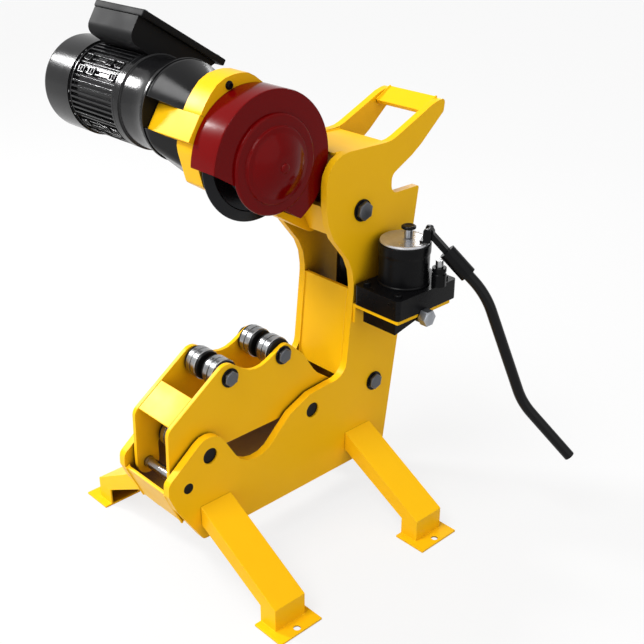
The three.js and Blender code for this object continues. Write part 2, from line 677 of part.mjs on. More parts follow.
function terminalBox(start) {
  const { x: y, y: z } = motorAt;
  const top = z + terminal.lift;
  const floor = z + terminal.seat;
  const middleY = y - terminal.ahead;
  const to = start + terminal.back / 3;
  const from = to - terminal.width;
  const lidLow = top - terminal.lid;
  const half = terminal.length / 2;
  const walls = rounded([
    [middleY - half + terminal.inset, floor - terminal.taper / 2, terminal.corner],
    [middleY + half - terminal.taper * 2, floor - terminal.taper],
    [middleY + half - terminal.taper / 2, lidLow - fit],
    [middleY - half + terminal.inset, lidLow - fit],
  ]);
  const middleX = (from + to) / 2;
  const glandZ = (floor - terminal.taper + lidLow) / 2;
  const glandY = middleY + half - terminal.taper / 2;
  const boss = acrossY(disc(middleX, glandZ, gland.flange), middleY, glandY);
  const shell = join(acrossX(walls, from + terminal.inset, to - terminal.taper / 2), boss);
  const seats = [
    rodX(motor.radius + fit, start - motor.length * 2, start + fit, y, z, ringSides),
    rodX(motor.radius + fit, start - overrun, start + motor.flare, y, z, ringSides),
  ];
  const hollow = box([from + terminal.taper, middleY - half + terminal.taper * 2, floor + terminal.lid],
    [to - terminal.taper, middleY + half - terminal.taper * 2, lidLow + overrun]);
  const glandHole = acrossY(disc(middleX, glandZ, gland.bore), middleY, glandY + overrun);
  add(headGroup, "terminal_box", cut(shell, ...seats, hollow, glandHole), black);
  add(headGroup, "terminal_lid", box([from, middleY - half, lidLow], [to, middleY + half, top]), black);
  const mouth = glandY + fit;
  const body = join(
    acrossY(disc(middleX, glandZ, gland.flange), mouth, mouth + gland.flangeWall),
    acrossY(disc(middleX, glandZ, gland.radius), mouth, mouth + gland.length),
  );
  const bore = acrossY(disc(middleX, glandZ, gland.bore), mouth - overrun, mouth + gland.length + overrun);
  add(headGroup, "cable_gland", cut(body, bore), black);
}

// The lift cylinder leans a little, so that its ram stays under the head's tail
function tailSpot(turn) {
  const arm = new THREE.Vector2(tail.reach, 0).rotateAround(new THREE.Vector2(0, 0), turn);
  return arm.add(pivot);
}

const tailRest = tailSpot(-tilt);
const liftLean = Math.atan2(tailRest.x - jackEye.x, tailRest.y - jackEye.y);

function liftAt(level) {
  return new THREE.Vector2(jackEye.x + (level - jackEye.y) * Math.tan(liftLean), level);
}

function liftCylinder() {
  const group = new THREE.Group();
  group.position.set(0, jackEye.x, jackEye.y);
  group.rotation.x = -liftLean;
  machine.add(group);
  const top = (lift.top - jackEye.y) / Math.cos(liftLean);
  const floor = lift.radius + lift.wall;
  const bore = lift.ram + running;
  const tube = turnedZ([
    [0, -lift.radius], [lift.radius, -lift.radius], [lift.radius, top], [bore, top], [bore, floor],
    [0, floor],
  ], 0, 0);
  const eyeHole = rodX(jackPin.radius + fit, -lift.radius - overrun, lift.radius + overrun, 0, 0);
  const feedUp = (feedLevel - jackEye.y) / Math.cos(liftLean);
  const feed = rodX(feedPipe.radius + fit, 0, lift.radius + overrun, 0, feedUp);
  add(group, "lift_cylinder", cut(tube, eyeHole, feed), black);
  const ramTop = tailRest.distanceTo(jackEye) - tail.roller - tail.clear;
  const ramLow = lift.ramStart - jackEye.y;
  const ram = turnedZ([
    [0, ramLow], [lift.ram, ramLow], [lift.ram, ramTop - lift.noseLong],
    [lift.nose, ramTop - lift.noseLong],
    [lift.nose, ramTop], [0, ramTop],
  ], 0, 0);
  add(group, "lift_ram", ram, steel);
}

function pumpBase() {
  const { shelfLong, shelfFront, shelfRear } = pump;
  const wallX = plateOut + fit - pump.x;
  const shelf = box([wallX, -shelfFront, -steelSheet], [wallX + shelfLong, shelfRear, 0]);
  const flange = box([wallX, -shelfFront, -steelSheet * 6], [wallX + steelSheet, shelfRear, 0]);
  const footOut = wallX + shelfLong - castingFoot.inset;
  const footX = footOut - castingFoot.wide;
  const { front: footFront, rear: footRear } = castingFoot;
  const upper = casting.high / 2;
  const hole = box([footX - fit, -footFront - fit, -steelSheet - overrun],
    [footOut + fit, footRear + fit, overrun]);
  const bossEnd = wallX + shelfLong + valve.proud;
  const notch = rodX(valve.boss + fit, footX, bossEnd + overrun, -valve.ahead, -valve.drop);
  const feedY = liftAt(feedLevel).x - pump.y;
  const feedZ = -feedPipe.drop;
  const feedEnd = footX + castingFoot.wide / 4;
  const feedHole = rodX(feedPipe.radius + fit, wallX - overrun, wallX + steelSheet + overrun, feedY, feedZ);
  add(pumpGroup, "pump_bracket", cut(join(shelf, flange), hole, notch, feedHole), yellow);
  const corner = casting.corner;
  const slab = rounded([
    [pumpOffset.x - casting.wide / 2, pumpOffset.y - casting.deep / 2, corner],
    [pumpOffset.x + casting.wide / 2, pumpOffset.y - casting.deep / 2, corner],
    [pumpOffset.x + casting.wide / 2, pumpOffset.y + casting.deep / 2, corner],
    [pumpOffset.x - casting.wide / 2, pumpOffset.y + casting.deep / 2, corner],
  ]);
  const wedge = new THREE.Shape([
    new THREE.Vector2(-footFront, upper), new THREE.Vector2(-footFront, -steelSheet - castingFoot.low),
    new THREE.Vector2(footRear, -steelSheet), new THREE.Vector2(footRear, upper),
  ]);
  const { pipeBoss } = castingFoot;
  const body = join(
    acrossZ(slab, fit, casting.high),
    acrossX(wedge, footX, footOut),
    box([footX, feedY - pipeBoss, feedZ - pipeBoss], [feedEnd + pipeBoss, feedY + pipeBoss, upper]),
    rodX(valve.boss, footX + castingFoot.wide / 2, bossEnd, -valve.ahead, -valve.drop),
  );
  const socket = rodX(feedPipe.radius + fit, footX - overrun, feedEnd, feedY, feedZ);
  const stemHole = rodX(valve.stem + running, bossEnd - valve.stemLong, bossEnd + overrun, -valve.ahead,
    -valve.drop);
  add(pumpGroup, "pump_casting", cut(body, socket, stemHole), black);
  const feedStart = lift.radius - lift.wall / 2 - pump.x;
  add(pumpGroup, "pressure_pipe", rodX(feedPipe.radius, feedStart, feedEnd - fit, feedY, feedZ), zinc);
  const screw = join(
    rodX(valve.stem, bossEnd + fit - valve.stemLong, bossEnd + valve.hexLong / 2, -valve.ahead,
      -valve.drop),
    rodX(valve.hex, bossEnd + fit, bossEnd + valve.hexLong, -valve.ahead, -valve.drop, hexSides),
  );
  add(pumpGroup, "release_valve", screw, zinc);
}

const pumpOffset = new THREE.Vector2(casting.outX, casting.backY);
const deck = casting.high + fit;
const capLow = deck + reservoir.high;
const capTop = capLow + reservoir.cap;

function reservoirParts() {
  const { radius, waist, shoulder, swell } = reservoir;
  const tank = turnedZ([
    [0, deck], [waist, deck], [waist, deck + shoulder], [radius, deck + shoulder + swell],
    [radius, capLow - fit], [0, capLow - fit],
  ], 0, 0);
  add(pumpGroup, "reservoir", tank, black);
  add(pumpGroup, "reservoir_cap", rodZ(radius - reservoir.cap / 2, capLow, capTop, 0, 0, ringSides), grey);
  const { neck, neckHigh, knob, high, backY } = plug;
  const filler = turnedZ([
    [0, capTop + fit], [neck, capTop + fit], [neck, capTop + neckHigh], [knob, capTop + neckHigh],
    [knob, capTop + high], [0, capTop + high],
  ], 0, backY, pinSides);
  add(pumpGroup, "filler_plug", filler, black);
}

// The lever group's X runs outward along the lever, and its Z runs up
function pumpLinkage() {
  const fulcrum = lever.rise;
  const cylinder = turnedZ([
    [0, deck], [barrel.radius, deck], [barrel.radius, deck + barrel.high],
    [barrel.plunger + running, deck + barrel.high],
    [barrel.plunger + running, deck + steelSheet], [0, deck + steelSheet],
  ], barrel.out, 0, pinSides);
  add(leverGroup, "pump_barrel", cylinder, black);
  const slope = Math.SQRT2;
  const touch = fulcrum - (barrel.out - lever.out) - lever.sleeve * slope - fit * 2;
  add(leverGroup, "pump_plunger", rodZ(barrel.plunger, deck + steelSheet + fit * 2,
    touch - barrel.plunger, barrel.out, 0), steel);
  const ears = [1, -1].map((side) => {
    const [from, to] = spread(side, lever.neck / 2 + fit, lever.neck / 2 + steelSheet);
    const ear = rounded([
      [lever.out - lever.eye, capTop + fit], [lever.out + lever.eye / 2, capTop + fit],
      [lever.out + lever.eye / 2, fulcrum + lever.eye, lever.eye / 2],
      [lever.out - lever.eye, fulcrum + lever.eye, lever.eye / 2],
    ]);
    return acrossY(ear, from, to);
  });
  const wide = lever.neck / 2 + steelSheet;
  const base = box([lever.out - lever.eye - steelSheet, -wide, capTop + fit],
    [lever.out + lever.eye / 2, wide, capTop + fit + steelSheet / 2]);
  const pin = acrossY(disc(lever.out, fulcrum, lever.eye / 2), -wide, wide);
  add(leverGroup, "lever_bracket", join(base, pin, ...ears), black);
}

function disc(across, up, radius, sides = pinSides) {
  const points = Array.from({ length: sides }, (_, index) => {
    const turn = index / sides * 2 * Math.PI;
    return new THREE.Vector2(across + radius * Math.cos(turn), up + radius * Math.sin(turn));
  });
  return new THREE.Shape(points);
}

function leverSocket() {
  const arm = new THREE.Group();
  arm.position.set(lever.out, 0, lever.rise);
  leverGroup.add(arm);
  const half = lever.neck / 2 - fit;
  const neck = new THREE.Shape([
    new THREE.Vector2(0, -lever.neckDeep / 2),
    new THREE.Vector2(lever.sleeveStart + overrun, -lever.neckDeep / 2),
    new THREE.Vector2(lever.sleeveStart + overrun, lever.neckDeep / 2),
    new THREE.Vector2(0, lever.neckDeep / 2),
  ]);
  const eye = acrossY(disc(0, 0, lever.eye - fit * 2), -half, half);
  const sleeve = turnedX([
    [0, lever.sleeveStart], [lever.sleeve, lever.sleeveStart], [lever.sleeve, lever.sleeveEnd],
    [leverTube.radius + fit, lever.sleeveEnd],
    [leverTube.radius + fit, lever.sleeveStart + lever.wallIn], [0, lever.sleeveStart + lever.wallIn],
  ], 0, 0, pinSides);
  const pinHole = acrossY(disc(0, 0, lever.eye / 2 + running), -lever.neck, lever.neck);
  const socket = cut(join(eye, acrossY(neck, -half, half), sleeve), pinHole);
  add(arm, "lever_socket", socket.rotateY(Math.PI / 4), black);
  add(arm, "lever_tube", leverTubeShape(), black);
}

// The lever's tube: out of its socket at 45 degrees, down a steep run, then out again to the grip
function leverTubeShape() {
  const start = (lever.sleeveStart + lever.wallIn + fit) / Math.SQRT2;
  const spots = [
    [start, -start], [leverTube.bend, -leverTube.bend], [leverTube.kneeOut, -leverTube.kneeDown],
    [leverTube.endOut, -leverTube.endDown],
  ].map(([out, up]) => new THREE.Vector3(out, 0, up));
  const path = new THREE.CurvePath();
  let from = spots[0];
  [leverBend.upper, leverBend.lower].forEach((bend, index) => {
    const corner = spots[index + 1];
    const before = corner.clone().sub(spots[index]).setLength(bend);
    const after = spots[index + 2].clone().sub(corner).setLength(bend);
    const enter = corner.clone().sub(before);
    path.add(new THREE.LineCurve3(from, enter));
    from = corner.clone().add(after);
    path.add(new THREE.QuadraticBezierCurve3(enter, corner, from));
  });
  path.add(new THREE.LineCurve3(from, spots[3]));
  const section = disc(0, 0, leverTube.radius, tubeSides);
  return new THREE.ExtrudeGeometry(section, { steps: tubeSteps, extrudePath: path, bevelEnabled: false });
}

framePlates();
crossPlates();
legs();
rollers();
bigRollerPins();
framePins();
cradleParts();
headArm();
headStop();
cutterParts();
guardParts();
const housingEnd = gearHousing();
const frameStart = motorParts(housingEnd);
terminalBox(frameStart);
liftCylinder();
pumpBase();
reservoirParts();
pumpLinkage();
leverSocket();

// The origin is the middle of the object's footprint on the floor
const whole = new THREE.Group();
whole.add(machine);
const bounds = new THREE.Box3().setFromObject(whole, true);
const centre = bounds.getCenter(new THREE.Vector3());
machine.position.set(-centre.x, -centre.y, -bounds.min.z);

export default whole;
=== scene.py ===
import json
import math

import bmesh
import bpy
from mathutils import Matrix, Vector


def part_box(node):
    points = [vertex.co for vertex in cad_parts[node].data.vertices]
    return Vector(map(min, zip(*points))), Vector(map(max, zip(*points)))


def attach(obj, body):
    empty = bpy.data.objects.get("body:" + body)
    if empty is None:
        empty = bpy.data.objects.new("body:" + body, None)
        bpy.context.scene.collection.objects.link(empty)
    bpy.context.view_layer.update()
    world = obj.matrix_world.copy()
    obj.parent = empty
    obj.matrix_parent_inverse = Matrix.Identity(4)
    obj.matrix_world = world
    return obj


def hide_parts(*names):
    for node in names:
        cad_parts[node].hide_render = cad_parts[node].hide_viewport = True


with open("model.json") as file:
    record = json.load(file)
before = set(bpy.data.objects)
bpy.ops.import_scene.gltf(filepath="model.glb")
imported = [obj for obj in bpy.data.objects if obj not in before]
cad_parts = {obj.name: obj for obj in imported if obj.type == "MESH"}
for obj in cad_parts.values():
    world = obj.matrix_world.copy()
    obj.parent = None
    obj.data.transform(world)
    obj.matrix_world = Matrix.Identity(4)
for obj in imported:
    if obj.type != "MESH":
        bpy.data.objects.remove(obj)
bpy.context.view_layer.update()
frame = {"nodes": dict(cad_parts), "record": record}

MM = 0.001
FIT = 0.3
ROUND_STEPS = 96
PIN_STEPS = 48
SCREW_STEPS = 24
SHARP_EDGE = math.radians(30)
EDGE_STEPS = 2
SAME_SPOT = 1e-6
ALONG_X = (1, 0, 0)
ALONG_Y = (0, 1, 0)
ALONG_Z = (0, 0, 1)
SIDES = {"right": 1, "left": -1}

record = frame["record"]
behaviour = record["behaviour"]
body_of = {node: body for body, nodes in behaviour["bodies"].items() for node in nodes}
slot_of = {part["node"]: part["material_slot"] for part in record["subparts"]}
joint_of = {joint["name"]: joint for joint in behaviour["joints"]}


def middle(node):
    low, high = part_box(node)
    return (low + high) / 2


def reach(node, axis=0):
    """Where a node starts and stops along X, Y or Z, in millimetres."""
    low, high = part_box(node)
    return low[axis] / MM, high[axis] / MM


def round_radius(node):
    low, high = reach(node, 2)
    return (high - low) / 2


def cross_line(node):
    """The point of a node's line along X that lies in the middle plane."""
    spot = middle(node)
    return Vector((0, spot.y, spot.z))


def upright_line(node):
    """The point of a node's upright line that lies on the ground."""
    spot = middle(node)
    return Vector((spot.x, spot.y, 0))


# Places that several pieces share
pivot = middle("pivot_bolt")
axle = middle("cutting_wheel")
guard_line = cross_line("cutting_wheel")
motor_axis = cross_line("motor_frame")
head_ahead = (guard_line - cross_line("pivot_bolt")).normalized()
head_up = Vector((0, head_ahead.z, -head_ahead.y))
head_turn = Matrix.Translation((0, pivot.y, pivot.z)) @ Matrix(
    ((1, 0, 0), (0, -head_ahead.y, head_up.y), (0, -head_ahead.z, head_up.z))).to_4x4()


# Materials
MIX_FROM = 6
MIX_TO = 7
MIX_OUT = 2


def node_group(name, inputs, outputs):
    group = bpy.data.node_groups.new(name, "ShaderNodeTree")
    for title, kind, value in inputs:
        plug = group.interface.new_socket(title, in_out="INPUT", socket_type=kind)
        if value is not None:
            plug.default_value = value
    for title, kind in outputs:
        group.interface.new_socket(title, in_out="OUTPUT", socket_type=kind)
    return group, group.nodes.new("NodeGroupInput"), group.nodes.new("NodeGroupOutput")


def add_node(tree, kind, **values):
    """A new node, with each value given to the input or the setting of that name."""
    node = tree.nodes.new(kind)
    for key, value in values.items():
        if key in node.inputs:
            node.inputs[key].default_value = value
        else:
            setattr(node, key, value)
    return node


def spread_out(tree, source, low=0.0, high=1.0):
    """A node that spreads the values between two levels over its own range."""
    node = tree.nodes.new("ShaderNodeMapRange")
    node.inputs["From Min"].default_value = low
    node.inputs["From Max"].default_value = high
    tree.links.new(source, node.inputs["Value"])
    return node


def joined(tree, operation, first, second):
    node = add_node(tree, "ShaderNodeMath", operation=operation)
    tree.links.new(first, node.inputs[0])
    tree.links.new(second, node.inputs[1])
    return node.outputs["Value"]


def drift_group():
    group, start, end = node_group(
        "tone_drift",
        [("Coordinate", "NodeSocketVector", None), ("Colour", "NodeSocketColor", (1, 1, 1, 1)),
         ("Darker", "NodeSocketColor", (0, 0, 0, 1)), ("Size", "NodeSocketFloat", 8.0),
         ("Amount", "NodeSocketFloat", 0.3)],
        [("Colour", "NodeSocketColor")])
    clouds = add_node(group, "ShaderNodeTexNoise", Detail=4.0, Roughness=0.55)
    spread = spread_out(group, clouds.outputs["Fac"], 0.35, 0.7)
    mix = add_node(group, "ShaderNodeMix", data_type="RGBA")
    group.links.new(start.outputs["Coordinate"], clouds.inputs["Vector"])
    group.links.new(start.outputs["Size"], clouds.inputs["Scale"])
    group.links.new(start.outputs["Amount"], spread.inputs["To Max"])
    group.links.new(spread.outputs["Result"], mix.inputs["Factor"])
    group.links.new(start.outputs["Colour"], mix.inputs[MIX_FROM])
    group.links.new(start.outputs["Darker"], mix.inputs[MIX_TO])
    group.links.new(mix.outputs[MIX_OUT], end.inputs["Colour"])
    return group


def skin_group():
    group, start, end = node_group(
        "surface_skin",
        [("Coordinate", "NodeSocketVector", None), ("Size", "NodeSocketFloat", 220.0),
         ("Depth", "NodeSocketFloat", 0.05), ("Smooth", "NodeSocketFloat", 0.28),
         ("Rough", "NodeSocketFloat", 0.4)],
        [("Normal", "NodeSocketVector"), ("Roughness", "NodeSocketFloat")])
    grain = add_node(group, "ShaderNodeTexNoise", Detail=2.0, Roughness=0.5)
    bump = add_node(group, "ShaderNodeBump", Distance=0.001)
    patches = add_node(group, "ShaderNodeTexNoise", Scale=14.0, Detail=3.0)
    spread = spread_out(group, patches.outputs["Fac"], 0.3, 0.7)
    group.links.new(start.outputs["Coordinate"], grain.inputs["Vector"])
    group.links.new(start.outputs["Coordinate"], patches.inputs["Vector"])
    group.links.new(start.outputs["Size"], grain.inputs["Scale"])
    group.links.new(grain.outputs["Fac"], bump.inputs["Height"])
    group.links.new(start.outputs["Depth"], bump.inputs["Strength"])
    group.links.new(start.outputs["Smooth"], spread.inputs["To Min"])
    group.links.new(start.outputs["Rough"], spread.inputs["To Max"])
    group.links.new(bump.outputs["Normal"], end.inputs["Normal"])
    group.links.new(spread.outputs["Result"], end.inputs["Roughness"])
    return group


# Partly real wear, partly painted highlight: sharp edges are lightened, broken up by noise
def edge_group():
    group, start, end = node_group(
        "edge_wear_and_highlight",
        [("Coordinate", "NodeSocketVector", None), ("Width", "NodeSocketFloat", 0.0012),
         ("Amount", "NodeSocketFloat", 0.5)],
        [("Mask", "NodeSocketFloat")])
    round_edge = add_node(group, "ShaderNodeBevel", samples=4)
    surface = add_node(group, "ShaderNodeNewGeometry")
    turn = add_node(group, "ShaderNodeVectorMath", operation="DOT_PRODUCT")
    patches = add_node(group, "ShaderNodeTexNoise", Scale=40.0, Detail=4.0)
    group.links.new(start.outputs["Width"], round_edge.inputs["Radius"])
    group.links.new(round_edge.outputs["Normal"], turn.inputs[0])
    group.links.new(surface.outputs["Normal"], turn.inputs[1])
    spread = spread_out(group, turn.outputs["Value"], 0.995, 0.9)
    group.links.new(start.outputs["Coordinate"], patches.inputs["Vector"])
    worn_and_lit = joined(group, "MULTIPLY", spread.outputs["Result"], patches.outputs["Fac"])
    mask = joined(group, "MULTIPLY", worn_and_lit, start.outputs["Amount"])
    group.links.new(mask, end.inputs["Mask"])
    return group


# Painted shade: ambient occlusion becomes a mask that darkens nooks, creases and gaps between parts
def nook_group():
    group, start, end = node_group(
        "nook_painted_shade",
        [("Reach", "NodeSocketFloat", 0.12), ("Amount", "NodeSocketFloat", 0.8)],
        [("Mask", "NodeSocketFloat")])
    open_sky = add_node(group, "ShaderNodeAmbientOcclusion", samples=12)
    spread = spread_out(group, open_sky.outputs["AO"], 0.2, 0.52)
    spread.inputs["To Max"].default_value = 0.0
    group.links.new(start.outputs["Reach"], open_sky.inputs["Distance"])
    group.links.new(start.outputs["Amount"], spread.inputs["To Min"])
    group.links.new(spread.outputs["Result"], end.inputs["Mask"])
    return group


TONE_DRIFT = drift_group()
SURFACE_SKIN = skin_group()
EDGE_WEAR_AND_HIGHLIGHT = edge_group()
NOOK_PAINTED_SHADE = nook_group()


def covered(tree, mask, base, top):
    """A colour that is covered by another one where a mask says so."""
    mix = add_node(tree, "ShaderNodeMix", data_type="RGBA")
    mix.inputs[MIX_TO].default_value = (*top, 1)
    tree.links.new(mask, mix.inputs["Factor"])
    tree.links.new(base, mix.inputs[MIX_FROM])
    return mix.outputs[MIX_OUT]


def finish(name, colour, darker, edge, drift=(9.0, 0.35), skin=(260.0, 0.06, 0.3, 0.42),
           edge_wear_highlight=(0.0012, 0.5), stretch=(1, 1, 1), metallic=0.0, specular=0.5, nook=None):
    """A finish with drifting tones, a grained skin, edges lightened as wear and painted highlight and, where
    given, painted shade in its nooks.
    """
    made = bpy.data.materials.new(name)
    made.use_nodes = True
    tree = made.node_tree
    shader = tree.nodes["Principled BSDF"]
    shader.inputs["Metallic"].default_value = metallic
    shader.inputs["Specular IOR Level"].default_value = specular
    place = add_node(tree, "ShaderNodeTexCoord").outputs["Object"]
    squeeze = add_node(tree, "ShaderNodeMapping", Scale=stretch)
    tree.links.new(place, squeeze.inputs["Vector"])
    cloud_size, cloud_amount = drift
    tone = add_node(tree, "ShaderNodeGroup", node_tree=TONE_DRIFT, Colour=(*colour, 1),
                    Darker=(*darker, 1), Size=cloud_size, Amount=cloud_amount)
    surface = add_node(tree, "ShaderNodeGroup", node_tree=SURFACE_SKIN,
                       **dict(zip(("Size", "Depth", "Smooth", "Rough"), skin)))
    highlight_width, highlight_amount = edge_wear_highlight
    wear_and_highlight = add_node(tree, "ShaderNodeGroup", node_tree=EDGE_WEAR_AND_HIGHLIGHT, Width=highlight_width, Amount=highlight_amount)
    tree.links.new(place, tone.inputs["Coordinate"])
    tree.links.new(squeeze.outputs["Vector"], surface.inputs["Coordinate"])
    tree.links.new(place, wear_and_highlight.inputs["Coordinate"])
    shown = covered(tree, wear_and_highlight.outputs["Mask"], tone.outputs["Colour"], edge)
    if nook:
        nook_reach, nook_amount, nook_colour = nook
        painted_shade = add_node(tree, "ShaderNodeGroup", node_tree=NOOK_PAINTED_SHADE, Reach=nook_reach,
                         Amount=nook_amount)
        shown = covered(tree, painted_shade.outputs["Mask"], shown, nook_colour)
    tree.links.new(shown, shader.inputs["Base Color"])
    tree.links.new(surface.outputs["Roughness"], shader.inputs["Roughness"])
    tree.links.new(surface.outputs["Normal"], shader.inputs["Normal"])
    return made


YELLOW = (0.98, 0.54, 0.006)
YELLOW_DEEP = (0.93, 0.48, 0.004)
# Lighter yellow for edges, standing for wear and painted highlight
YELLOW_WORN_AND_LIT = (1.0, 0.68, 0.05)
ENAMEL_SKIN = (420.0, 0.05, 0.28, 0.4)
BLACK = (0.005, 0.005, 0.0055)
BLACK_WORN = (0.009, 0.009, 0.0095)
JET = (0.003, 0.003, 0.0035)

finishes = {
    # Yellow paint turns dark brown in its nooks as painted shade
    "yellow_paint": finish("yellow_paint", YELLOW, YELLOW_DEEP, YELLOW_WORN_AND_LIT, skin=ENAMEL_SKIN,
                           specular=0.1, nook=(0.1, 0.85, (0.1, 0.03, 0.001))),
    "red_paint": finish("red_paint", (0.16, 0.001, 0.0015), (0.125, 0.0008, 0.001), (0.34, 0.012, 0.012),
                        skin=(420.0, 0.02, 0.12, 0.19), specular=0.08),
    "black_alloy": finish("black_alloy", BLACK, BLACK_WORN, (0.16, 0.16, 0.165),
                          skin=(700.0, 0.12, 0.12, 0.24), edge_wear_highlight=(0.001, 0.8), specular=0.24),
    "black_paint": finish("black_paint", JET, (0.006, 0.006, 0.0065), (0.04, 0.04, 0.04),
                          skin=(500.0, 0.1, 0.2, 0.32), edge_wear_highlight=(0.001, 0.5), specular=0.1),
    "black_plastic": finish("black_plastic", (0.004, 0.004, 0.004), (0.008, 0.008, 0.008),
                            (0.02, 0.02, 0.02), skin=(900.0, 0.1, 0.4, 0.52), specular=0.12),
    "grey_cap": finish("grey_cap", (0.62, 0.62, 0.64), (0.3, 0.3, 0.31), (0.8, 0.8, 0.8),
                       drift=(26.0, 0.8), skin=(600.0, 0.1, 0.24, 0.36), metallic=0.8),
    "bright_steel": finish("bright_steel", (0.42, 0.425, 0.43), (0.2, 0.2, 0.205), (0.8, 0.8, 0.81),
                           drift=(40.0, 0.7), skin=(900.0, 0.12, 0.18, 0.3), stretch=(6, 0.02, 0.02),
                           metallic=1.0),
    "dark_steel": finish("dark_steel", (0.1, 0.105, 0.115), (0.045, 0.045, 0.05), (0.4, 0.4, 0.42),
                         skin=(700.0, 0.1, 0.24, 0.38), metallic=0.9),
    "zinc_steel": finish("zinc_steel", (0.42, 0.44, 0.47), (0.26, 0.27, 0.29), (0.75, 0.76, 0.78),
                         drift=(30.0, 0.5), skin=(900.0, 0.1, 0.26, 0.42), metallic=1.0),
}
# The left side plate gets deeper, wider painted shade in its nooks, so the column looks dark inside
column_finish = finish("column_paint", YELLOW, YELLOW_DEEP, YELLOW_WORN_AND_LIT, skin=ENAMEL_SKIN,
                       specular=0.1, nook=(0.26, 0.95, (0.04, 0.009, 0.0008)))
box_finish = finish("box_paint", BLACK, BLACK_WORN, (0.05, 0.05, 0.052),
                    skin=(700.0, 0.1, 0.48, 0.58), edge_wear_highlight=(0.001, 0.6), specular=0.08)
lever_finish = finish("lever_enamel", JET, (0.005, 0.005, 0.0055), (0.05, 0.05, 0.05),
                      skin=(500.0, 0.06, 0.12, 0.2), edge_wear_highlight=(0.001, 0.5), specular=0.15)
# The cutting wheel's steel is given a near-black colour, darker than the other steels
wheel_finish = finish("near_black_steel", (0.014, 0.0145, 0.016), (0.007, 0.007, 0.008), (0.3, 0.3, 0.31),
                      skin=(800.0, 0.1, 0.2, 0.32), metallic=0.85)


# Mesh helpers
def soften(bm, width):
    edges = [edge for edge in bm.edges if edge.is_manifold and edge.calc_face_angle(0) > SHARP_EDGE]
    bmesh.ops.bevel(bm, geom=edges, offset=width * MM, offset_type="OFFSET", segments=EDGE_STEPS,
                    profile=0.5, affect="EDGES", clamp_overlap=True, material=-1)


def set_along(bm, verts, axis, place):
    """Turns points from the upright axis to another one and moves them to a place in metres."""
    turn = Vector(ALONG_Z).rotation_difference(Vector(axis)).to_matrix()
    bmesh.ops.rotate(bm, verts=verts, cent=(0, 0, 0), matrix=turn)
    bmesh.ops.translate(bm, verts=verts, vec=place)


def turned(profile, place, axis=ALONG_X, steps=ROUND_STEPS, edge=0):
    """A turned solid from (radius, along) points in millimetres, along an axis through a place in metres."""
    bm = bmesh.new()
    verts = [bm.verts.new((radius * MM, 0, along * MM)) for radius, along in profile]
    edges = [bm.edges.new(pair) for pair in zip(verts, verts[1:])]
    bmesh.ops.spin(bm, geom=verts + edges, cent=(0, 0, 0), axis=ALONG_Z, angle=math.tau, steps=steps,
                   use_merge=True)
    bmesh.ops.remove_doubles(bm, verts=bm.verts, dist=SAME_SPOT)
    bmesh.ops.recalc_face_normals(bm, faces=bm.faces)
    if edge:
        soften(bm, edge)
    set_along(bm, bm.verts, axis, place)
    return bm


def hexagon(radius, start, stop, place, axis, edge, spin=0.0):
    """A hexagon bar, a radius across its corners, between two distances along an axis."""
    bm = bmesh.new()
    bmesh.ops.create_cone(bm, cap_ends=True, segments=6, radius1=radius * MM, radius2=radius * MM,
                          depth=(stop - start) * MM)
    bmesh.ops.rotate(bm, verts=bm.verts, cent=(0, 0, 0), matrix=Matrix.Rotation(spin, 3, "Z"))
    bmesh.ops.translate(bm, verts=bm.verts, vec=(0, 0, (start + stop) / 2 * MM))
    soften(bm, edge)
    set_along(bm, bm.verts, axis, place)
    return bm


def block(low, high, edge, matrix):
    """A box between two corners in millimetres, moved by a matrix."""
    low, high = Vector(low) * MM, Vector(high) * MM
    bm = bmesh.new()
    bmesh.ops.create_cube(bm, size=1)
    bmesh.ops.scale(bm, verts=bm.verts, vec=high - low)
    bmesh.ops.translate(bm, verts=bm.verts, vec=(low + high) / 2)
    if edge:
        soften(bm, edge)
    bmesh.ops.transform(bm, matrix=matrix, verts=bm.verts)
    return bm


def rod(radius, start, stop):
    """The outline of a plain round bar."""
    return [(0, start), (radius, start), (radius, stop), (0, stop)]


def mirrored(outline):
    """An outline and, after it, its mirror image at the other end."""
    return outline + [(radius, -along) for radius, along in reversed(outline)]


def gather(*shapes):
    whole = bmesh.new()
    for shape in shapes:
        part = bpy.data.meshes.new("part")
        shape.to_mesh(part)
        shape.free()
        whole.from_mesh(part)
        bpy.data.meshes.remove(part)
    return whole


def piece(name, bm, slot, body, *nodes, sharp=32, look=None):
    bmesh.ops.remove_doubles(bm, verts=bm.verts, dist=SAME_SPOT)
    bmesh.ops.recalc_face_normals(bm, faces=bm.faces)
    mesh = bpy.data.meshes.new(name)
    bm.to_mesh(mesh)
    bm.free()
    mesh.shade_smooth()
    mesh.set_sharp_from_angle(angle=math.radians(sharp))
    mesh.materials.append(look or finishes[slot])
    obj = bpy.data.objects.new(name, mesh)
    bpy.context.collection.objects.link(obj)
    even = obj.modifiers.new("even_shading", "WEIGHTED_NORMAL")
    even.keep_sharp = True
    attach(obj, body)
    if nodes:
        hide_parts(*nodes)
    return obj


def stand_in(node, ending, bm, **finishing):
    """A piece that stands for a node, with the node's slot and body."""
    return piece(f"{node}_{ending}", bm, slot_of[node], body_of[node], node, **finishing)


CAD_WELD = 2e-5


def dressed(node, edge, look=None):
    """The node's own shape with its edges rounded, as a ground or cast piece has them."""
    bm = bmesh.new()
    bm.from_mesh(frame["nodes"][node].data)
    bmesh.ops.remove_doubles(bm, verts=bm.verts, dist=CAD_WELD)
    bmesh.ops.dissolve_limit(bm, angle_limit=math.radians(1), verts=bm.verts, edges=bm.edges)
    soften(bm, edge)
    stand_in(node, "skin", bm, sharp=28, look=look)


